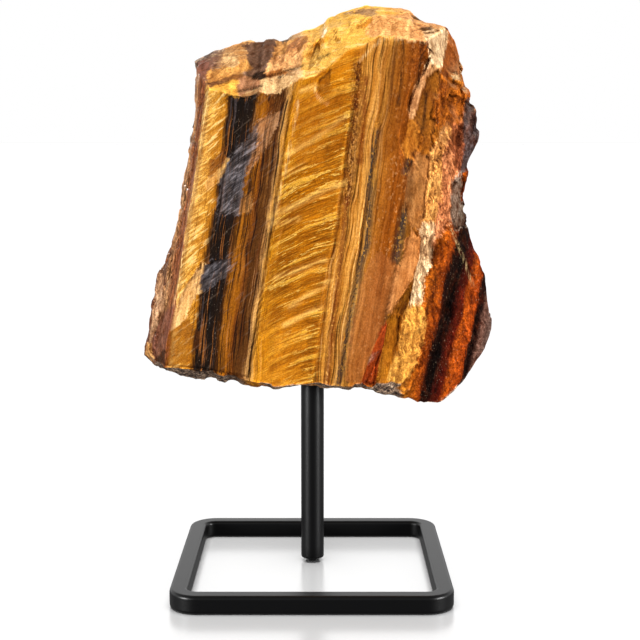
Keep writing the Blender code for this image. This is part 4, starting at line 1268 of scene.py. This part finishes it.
def layer_colour(tree, grains, fields):
    """The stone's layers, their edges frayed by the fibres, and the top's paler break: partly its own
    colour, partly painted light falling on the top.
    """
    wander = add(tree, "ShaderNodeMapRange", {0: grains["ragged"], 3: -LAYERS_WANDER,
                                              4: LAYERS_WANDER})
    fray = add(tree, "ShaderNodeMapRange", {0: grains["frayed"], 3: -LAYERS_FRAY, 4: LAYERS_FRAY})
    shift = add(tree, "ShaderNodeMath", {0: wander, 1: fray})
    layer = add(tree, "ShaderNodeMath", {0: fields["layer"], 1: shift})
    ramps = []
    for layers, limits in ((LEFT_LAYERS, LEFT_RANGE), (RIGHT_LAYERS, RIGHT_RANGE),
                           (TOP_LAYERS, TOP_RANGE)):
        level = add(tree, "ShaderNodeMapRange", {0: layer, 1: limits[0], 2: limits[1]})
        ramps.append(add(tree, "ShaderNodeValToRGB", {0: level}, stops=spread(layers, limits),
                         gain=TOP_GAIN if layers is TOP_LAYERS else GAIN))
    is_right = add(tree, "ShaderNodeMath", {0: layer, 1: SPLIT}, operation="GREATER_THAN")
    colour = add(tree, "ShaderNodeMix", {0: is_right, 6: ramps[0], 7: ramps[1]},
                 data_type="RGBA")
    colour = touched(tree, grains, fields, colour, LAYER_TOUCHES, GAIN)
    top_colour = touched(tree, grains, fields, ramps[2], TOP_TOUCHES, TOP_GAIN)
    return add(tree, "ShaderNodeMix", {0: fields["top"], 6: colour, 7: top_colour},
               data_type="RGBA")


def patched_colour(tree, grains, fields, colour):
    """Facets and patches of other colours, streaked like the layers under them."""
    tint = add(tree, "ShaderNodeAttribute", attribute_name="tint").outputs
    toned = shaded(tree, grains, tint["Color"], PATCH_TONES)
    ragged = add(tree, "ShaderNodeMapRange", {0: grains["crumbs"], 1: 0.2, 2: 0.8,
                                              3: -PATCHES_FRAY, 4: PATCHES_FRAY})
    inside = add(tree, "ShaderNodeMath", {0: tint["Alpha"], 1: ragged})
    share = add(tree, "ShaderNodeMapRange", {0: inside, 1: PATCH_EDGE[0], 2: PATCH_EDGE[1],
                                             4: fields["cover"]})
    return add(tree, "ShaderNodeMix", {0: share, 6: colour, 7: toned}, data_type="RGBA")


def tigers_eye():
    """Tiger's eye, a quartz grown through with iron-stained fibre, as broken from the seam.
    The fibres run across the layers and give the gold ones their silk, whose shimmer is painted
    into the colour as light and dark streaks, a painted sheen; the rind is dull."""
    mat, tree, shader = new_material("tigers_eye_broken")
    names = ("layer", "top", "rind", "crumble", "crest", "cover", *LAYER_SHARES, *LINES)
    fields = {name: add(tree, "ShaderNodeAttribute", attribute_name=name).outputs["Fac"]
              for name in names}
    grains = stone_grains(tree)
    colour = patched_colour(tree, grains, fields, layer_colour(tree, grains, fields))

    # the dull brown and grey rind of the seam
    rind_colour = add(tree, "ShaderNodeValToRGB", {0: grains["crumbs"]}, stops=RIND_STOPS,
                      gain=GAIN)
    patchy = add(tree, "ShaderNodeMapRange", {0: grains["patches"], 1: 0.3, 2: 0.6,
                                              3: RIND_PATCHY[0], 4: RIND_PATCHY[1]})
    share = add(tree, "ShaderNodeMath", {0: fields["rind"], 1: patchy}, operation="MULTIPLY")
    share = add(tree, "ShaderNodeMapRange", {0: share, 1: RIND_EDGE[0], 2: RIND_EDGE[1]})
    colour = add(tree, "ShaderNodeMix", {0: share, 6: colour, 7: rind_colour}, data_type="RGBA")

    toned = shaded(tree, grains, colour, CRUMBLE_TONES)
    colour = add(tree, "ShaderNodeMix", {0: fields["crumble"], 6: colour, 7: toned},
                 data_type="RGBA")
    colour = touched(tree, grains, fields, colour, SKIN_TOUCHES, GAIN)
    # painted shade in the clefts and creases, and lighter edges, by how far each point stands out
    colour = shaded(tree, {**grains, "crest": fields["crest"]}, colour, CLEFT_SHADE_AND_SPECK_TONES)
    rough = add(tree, "ShaderNodeMapRange", {0: grains["crumbs"], 1: 0.3, 2: 0.7,
                                             3: SKIN_ROUGHNESS[0], 4: SKIN_ROUGHNESS[1]})
    rough = add(tree, "ShaderNodeMath", {0: fields["rind"], 1: RIND_ROUGHNESS, 2: rough},
                operation="MULTIPLY_ADD")
    height = 0.0
    for grain, lift_mm, where in RELIEF:
        share = add(tree, "ShaderNodeMath", {0: grains[grain], 1: fields[where]},
                    operation="MULTIPLY")
        height = add(tree, "ShaderNodeMath", {0: share, 1: lift_mm, 2: height},
                     operation="MULTIPLY_ADD")
    relief = add(tree, "ShaderNodeBump", {"Height": height, "Distance": MM, "Strength": 1.0})
    tree.links.new(colour.outputs[2], shader.inputs["Base Color"])
    tree.links.new(rough.outputs[0], shader.inputs["Roughness"])
    tree.links.new(relief.outputs[0], shader.inputs["Normal"])
    shader.inputs["Specular IOR Level"].default_value = STONE_SPECULAR
    return mat


def black_powder_coat():
    """Powder coat baked on steel: black, semi-gloss, with a fine orange-peel grain."""
    mat, tree, shader = new_material("black_powder_coat")
    place_m = add(tree, "ShaderNodeTexCoord").outputs["Object"]
    grain = add(tree, "ShaderNodeTexNoise", {"Vector": place_m, "Scale": COAT_WAVES / MM,
                                             "Detail": 2.0})
    dents = add(tree, "ShaderNodeBump", {"Height": grain.outputs[0], "Distance": COAT_PEEL,
                                         "Strength": 0.35})
    tree.links.new(dents.outputs[0], shader.inputs["Normal"])
    shader.inputs["Base Color"].default_value = linear(COAT_BLACK)
    shader.inputs["Roughness"].default_value = COAT_ROUGHNESS
    shader.inputs["Specular IOR Level"].default_value = 0.5
    return mat


def white_table():
    """White acrylic sheet, polished: a faint reflection of what stands on it."""
    mat, tree, shader = new_material("white_table")
    shader.inputs["Base Color"].default_value = linear(TABLE_WHITE)
    shader.inputs["Specular IOR Level"].default_value = 0.0
    gloss = add(tree, "ShaderNodeBsdfGlossy", {"Roughness": TABLE_ROUGHNESS})
    sheen = add(tree, "ShaderNodeMixShader", {0: TABLE_MIRROR, 1: shader.outputs[0],
                                              2: gloss.outputs[0]})
    tree.links.new(sheen.outputs[0], tree.nodes["Material Output"].inputs[0])
    return mat


# ================================================================ the stand

def skin(name, rows, closed):
    """A mesh over rows of points, each row a closed loop. closed joins the last row to the
    first; otherwise both ends are capped."""
    count, around = len(rows), len(rows[0])
    faces = []
    for row in range(count if closed else count - 1):
        low, high = row * around, (row + 1) % count * around
        for i in range(around):
            j = (i + 1) % around
            faces.append((low + i, low + j, high + j, high + i))
    if not closed:
        faces.append(tuple(reversed(range(around))))
        faces.append(tuple(range((count - 1) * around, count * around)))
    mesh = bpy.data.meshes.new(name)
    mesh.from_pydata([point for row in rows for point in row], [], faces)
    shell = bmesh.new()
    shell.from_mesh(mesh)
    bmesh.ops.recalc_face_normals(shell, faces=shell.faces)
    shell.to_mesh(mesh)
    shell.free()
    mesh.shade_smooth()
    mesh.set_sharp_from_angle(angle=math.radians(BAR_SHARP_ANGLE))
    return mesh


def arc(cx, cy, radius, start, end, steps):
    """Points on an arc and the way out from each: (x, y, out x, out y)."""
    points = []
    for step in range(steps + 1):
        angle = start + (end - start) * step / steps
        out_x, out_y = math.cos(angle), math.sin(angle)
        points.append((cx + radius * out_x, cy + radius * out_y, out_x, out_y))
    return points


def rounded_square(half, radius, steps):
    points = []
    for quarter, (side_x, side_y) in enumerate(QUARTERS):
        turn = quarter * math.pi / 2
        inner = half - radius
        points += arc(side_x * inner, side_y * inner, radius, turn, turn + math.pi / 2, steps)
    return points


def make_base_ring(coat):
    """A square bar bent into a rounded square. Beside each rounded edge lies one more row, so
    that the flats stay flat when they are shaded smooth."""
    height = BASE_HIGH[2] - BASE_LOW[2]
    section = []
    for quarter, (side, up) in enumerate(QUARTERS):
        turn = quarter * math.pi / 2
        across = side * (BAR_WIDTH / 2 - BAR_EDGE_RADIUS)
        level = up * (height / 2 - BAR_EDGE_RADIUS)
        bend = [point[:2] for point in arc(across, level, BAR_EDGE_RADIUS, turn,
                                           turn + math.pi / 2, EDGE_STEPS)]
        ahead = (-math.sin(turn) * FLAT_ROW, math.cos(turn) * FLAT_ROW)
        past = (-math.cos(turn) * FLAT_ROW, -math.sin(turn) * FLAT_ROW)
        section.append((bend[0][0] - ahead[0], bend[0][1] - ahead[1]))
        section += bend
        section.append((bend[-1][0] + past[0], bend[-1][1] + past[1]))
    middle = BAR_WIDTH / 2
    path = rounded_square(BASE_HIGH[0] - middle, BASE_CORNER_RADIUS - middle, CORNER_STEPS)
    rows = [[(x + out_x * across, y + out_y * across, BASE_LOW[2] + height / 2 + level)
             for across, level in section] for x, y, out_x, out_y in path]
    ring = new_object("base_ring_coated", skin("ring_skin", rows, True), coat)
    place(ring, "black_powder_coat", "base_ring")
    return ring


def round_bar(name, start, end, radius, chamfer, coat):
    """A round bar between two points, its ends bevelled in a quarter round."""
    start, end = Vector(start), Vector(end)
    way = (end - start).normalized()
    side = way.orthogonal().normalized()
    other = way.cross(side)
    length = (end - start).length
    bevel = arc(chamfer, radius - chamfer, chamfer, math.pi, math.pi / 2, EDGE_STEPS)
    section = [(along, reach) for along, reach, _, _ in bevel]
    section.append((chamfer + FLAT_ROW, radius))
    section += [(length - along, reach) for along, reach in reversed(section)]
    rows = [[start + way * along + reach * (side * out_x + other * out_y)
             for _, _, out_x, out_y in arc(0, 0, 1, 0, math.tau, ROUND_SIDES)[:-1]]
            for along, reach in section]
    return new_object(name, skin(name + "_skin", rows, False), coat)


def make_post(coat):
    radius = (POST_HIGH[0] - POST_LOW[0]) / 2
    middle = (POST_LOW[1] + POST_HIGH[1]) / 2
    post = round_bar("post_coated", (0, middle, POST_LOW[2]), (0, middle, POST_HIGH[2]), radius,
                     POST_CHAMFER, coat)
    place(post, "black_powder_coat", "post")
    return post


def weld_nodes(coat):
    """Geometry nodes that add a row of weld beads over each of two joints of an upright ring."""
    tree = bpy.data.node_groups.new("weld_beads", "GeometryNodeTree")
    sockets = {name: tree.interface.new_socket(name, in_out="INPUT", socket_type=kind)
               for name, kind in (("Bar", "NodeSocketGeometry"), ("Beads", "NodeSocketInt"),
                                  ("Bead Radius", "NodeSocketFloat"),
                                  ("Joint Radius", "NodeSocketFloat"),
                                  ("First Joint", "NodeSocketVector"),
                                  ("Second Joint", "NodeSocketVector"),
                                  ("Seed", "NodeSocketInt"))}
    tree.interface.new_socket("Welded Bar", in_out="OUTPUT", socket_type="NodeSocketGeometry")
    given = tree.nodes.new("NodeGroupInput").outputs
    row = add(tree, "GeometryNodeCurveArc", {
        "Resolution": given["Beads"], "Radius": given["Joint Radius"],
        "Start Angle": math.radians(WELD_START), "Sweep Angle": math.radians(WELD_SWEEP)})
    upright = add(tree, "GeometryNodeTransform", {"Geometry": row,
                                                  "Rotation": (math.pi / 2, 0.0, 0.0)})
    bead = add(tree, "GeometryNodeMeshIcoSphere", {"Radius": given["Bead Radius"],
                                                   "Subdivisions": 3})
    smallest, largest = WELD_BEAD_SIZES
    size = add(tree, "FunctionNodeRandomValue", {2: smallest, 3: largest, 8: given["Seed"]},
               data_type="FLOAT")
    beads = add(tree, "GeometryNodeInstanceOnPoints", {"Points": upright, "Instance": bead,
                                                       "Scale": size})
    solid = add(tree, "GeometryNodeRealizeInstances", {"Geometry": beads})
    smooth = add(tree, "GeometryNodeSetShadeSmooth", {"Geometry": solid})
    coated = add(tree, "GeometryNodeSetMaterial", {"Geometry": smooth, "Material": coat})
    joined = add(tree, "GeometryNodeJoinGeometry", {"Geometry": given["Bar"]})
    for joint in ("First Joint", "Second Joint"):
        moved = add(tree, "GeometryNodeTransform", {"Geometry": coated,
                                                    "Translation": given[joint]})
        tree.links.new(moved.outputs[0], joined.inputs[0])
    add(tree, "NodeGroupOutput", {0: joined})
    return tree, sockets


def make_support_rod(coat):
    """The rod from the rear rail into the foot of the post, with its two welds."""
    radius = (ROD_HIGH[0] - ROD_LOW[0]) / 2
    level = (ROD_LOW[2] + ROD_HIGH[2]) / 2
    rod = round_bar("support_rod_coated", (0, ROD_LOW[1], level), (0, ROD_HIGH[1], level), radius,
                    ROD_CHAMFER, coat)
    tree, sockets = weld_nodes(coat)
    welds = rod.modifiers.new("welds", "NODES")
    welds.node_group = tree
    settings = {"Beads": WELD_BEADS, "Bead Radius": WELD_BEAD_RADIUS, "Joint Radius": radius,
                "First Joint": (0.0, POST_HIGH[1], level),
                "Second Joint": (0.0, ROD_HIGH[1], level), "Seed": WELD_SEED}
    for name, value in settings.items():
        welds[sockets[name].identifier] = value
    evaluated = rod.evaluated_get(bpy.context.evaluated_depsgraph_get())
    mesh = bpy.data.meshes.new_from_object(evaluated)
    rod.modifiers.clear()
    rod.data = mesh
    place(rod, "black_powder_coat", "support_rod")
    return rod


# ================================================================ stage

def make_table():
    bpy.ops.mesh.primitive_plane_add(size=TABLE_SIZE)
    table = bpy.context.object
    table.name = "table"
    table.data.materials.append(white_table())
    return table


def far_light(name, comes_from, power, softness):
    """A light so far off that its rays are parallel. softness is its width in degrees."""
    data = bpy.data.lights.new(name, "SUN")
    data.energy = power
    data.angle = math.radians(softness)
    light = bpy.data.objects.new(name, data)
    light.rotation_euler = Vector(comes_from).to_track_quat("Z", "Y").to_euler()
    bpy.context.scene.collection.objects.link(light)
    return light


def group(name, objects):
    members = bpy.data.collections.new(name)
    for obj in objects:
        members.objects.link(obj)
    return members


def make_world():
    """A white backdrop that the table mirrors, under a greyer ceiling; the room is darker in
    front."""
    world = bpy.data.worlds.new("studio")
    world.use_nodes = True
    tree = world.node_tree
    way = add(tree, "ShaderNodeTexCoord").outputs["Generated"]
    way = add(tree, "ShaderNodeSeparateXYZ", {0: way})
    level = add(tree, "ShaderNodeMapRange", {0: way.outputs[2], 1: -1.0, 2: 1.0})
    studio = add(tree, "ShaderNodeValToRGB", {0: level}, stops=STUDIO_STOPS)
    behind = add(tree, "ShaderNodeMapRange", {0: way.outputs[1], 1: -0.5, 2: 0.1, 3: FRONT_DIM})
    studio = add(tree, "ShaderNodeMix", {0: 1.0, 6: studio, 7: behind}, data_type="RGBA",
                 blend_type="MULTIPLY")
    seen = add(tree, "ShaderNodeLightPath").outputs["Is Camera Ray"]
    shade = add(tree, "ShaderNodeMix", {0: seen, 6: studio, 7: linear("#FFFFFF")},
                data_type="RGBA").outputs[2]
    tree.links.new(shade, tree.nodes["Background"].inputs[0])
    bpy.context.scene.world = world


def make_light(table, stone, stand):
    """Two keys and a light behind model the stone, two wide lamps draw the highlights along the
    post, and one light keeps the table white under the stand."""
    for lights, softness, lit in ((KEYS, KEY_SOFTNESS, [stone]),
                                  (STAND_LIGHTS, STAND_SOFTNESS, stand)):
        for name, comes_from, power in lights:
            key = far_light(name, comes_from, power, softness)
            key.light_linking.receiver_collection = group("lit_by_" + name, lit)
    fill = far_light(*LOW_FILL)
    fill.light_linking.receiver_collection = group("lit_from_below", [stone])
    fill.light_linking.blocker_collection = group("self_shadow", [stone])
    over_table = far_light(*OVER_TABLE)
    over_table.light_linking.receiver_collection = group("lit_from_above", [table])
    over_table.light_linking.blocker_collection = group("stand_shadow", stand)
    table.visible_diffuse = False
    table.visible_glossy = False


def make_camera():
    data = bpy.data.cameras.new("camera")
    data.lens, data.sensor_width = CAMERA_LENS, CAMERA_SENSOR
    camera = bpy.data.objects.new("camera", data)
    camera.location = CAMERA_AT
    camera.rotation_euler = (math.radians(CAMERA_PITCH), 0.0, 0.0)
    bpy.context.scene.collection.objects.link(camera)
    bpy.context.scene.camera = camera


bpy.context.scene.view_settings.view_transform = "Standard"
make_camera()
make_world()
coat_material = black_powder_coat()
stand = [make_base_ring(coat_material), make_post(coat_material), make_support_rod(coat_material)]
make_light(make_table(), make_stone(), stand)
